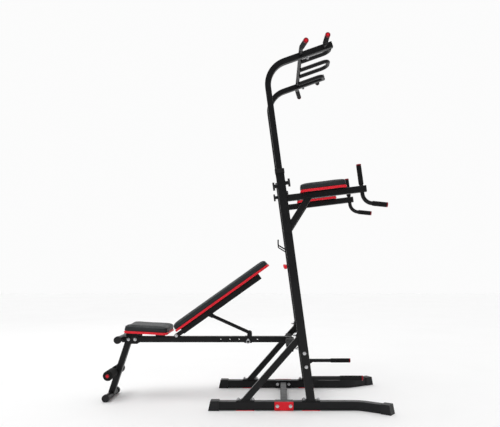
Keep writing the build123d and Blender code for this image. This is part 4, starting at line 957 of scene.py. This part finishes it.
def piping(label, node, pad, piece, flush_end):
    """A thin welt sewn round a cushion, just below its top edge, in a lighter vinyl that paints the edge's
    highlight.
    """
    length, width, thickness = pad.size
    outline = pad_outline(length, width, 0.0, step=PIPING_STEP)
    height = thickness - CUSHION_CROWN - PIPING_DROP
    ring = surface_ring(piece, pad, outline, height, PIPING_SINK, flush_end)
    mesh = closed_tube(f"{label}_piping", ring, [PIPING_RADIUS] * len(ring), PIPING_SIDES)
    add_piece(f"{label}_piping", mesh, BODY_OF[node], SLOT_OF[node], PIPING_PAINTED_HIGHLIGHT)


def stitches(name, ring):
    """Short thread stitches laid along a ring of (point, outward direction) pairs."""
    line = [point for point, outward in ring]
    line.append(line[0])
    count = int(line_length(line) / STITCH_PITCH)
    tip = STITCH_RADIUS * STITCH_TIP
    taper = STITCH_LENGTH * STITCH_TAPER
    profile = [(0.0, tip), (taper, STITCH_RADIUS), (STITCH_LENGTH - taper, STITCH_RADIUS),
               (STITCH_LENGTH, tip)]
    meshes = []
    for stitch, (index, point) in enumerate(even_steps(line, count)):
        ahead = (line[index + 1] - line[index]).normalized()
        start = point + ring[index][1] * STITCH_RADIUS * STITCH_LIFT
        meshes.append(lathe(f"{name}_{stitch}", start, start + ahead * STITCH_LENGTH, profile, STITCH_SIDES))
    mesh = join(name, meshes)
    shade_all_smooth(mesh)
    return mesh


def red_band(label, body, pad, length, width):
    """The red upholstered edge of the board under a cushion, with a dark underside and a sewn line."""
    thickness = pad.size[2]
    outline = pad_outline(length, width, SIDE_PULL * BAND_PULL)
    upper_rounding = [(inset, thickness - depth) for inset, depth in reversed(BAND_ROUNDING)]
    mesh = stacked_mesh(f"{label}_band", pad, outline, [UNDERSIDE_RING, *BAND_ROUNDING, *upper_rounding])
    mesh.materials.append(RED_VINYL)
    mesh.materials.append(UNDERSIDE)
    underside = next(polygon for polygon in mesh.polygons if len(polygon.vertices) > 4)
    underside.material_index = 1
    shade_smooth(mesh, BAND_SMOOTH_ANGLE)
    band = add_piece(f"{label}_band", mesh, body, "red_trim", RED_VINYL)
    ring = surface_ring(band, pad, outline, thickness - STITCH_DROP)
    add_piece(f"{label}_stitching", stitches(f"{label}_stitching", ring), body, "black_vinyl", THREAD)
    return band


def upholstery(label, cushion_node, board_node, board_points, tilt, nose=None):
    """A padded cushion with piping, on a red band in place of a CAD board whose points are given."""
    pad = PadFrame(node_points(cushion_node), tilt)
    piece = cushion(label, cushion_node, pad, nose)
    piping(label, cushion_node, pad, piece, flush_end=0 if nose is None else nose[0])
    length, width, thickness = pad.size
    band = red_band(label, BODY_OF[cushion_node], PadFrame(board_points, tilt), length, width)
    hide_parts(board_node)


upholstery("seat", "seat_cushion", "seat_board", node_points("seat_board"), SEAT_TILT,
           SEAT_NOSE)
upholstery("back", "back_cushion", "back_board", node_points("back_board"), BACK_TILT,
           BACK_NOSE)
arm_board_solids = sorted(solids("arm_boards"), key=lambda points: points[:, 1].mean())
for side, arm_board_points in zip(PAIR, arm_board_solids):
    upholstery(f"arm_{side}", f"arm_cushion_{side}", "arm_boards", arm_board_points, ARM_TILT)
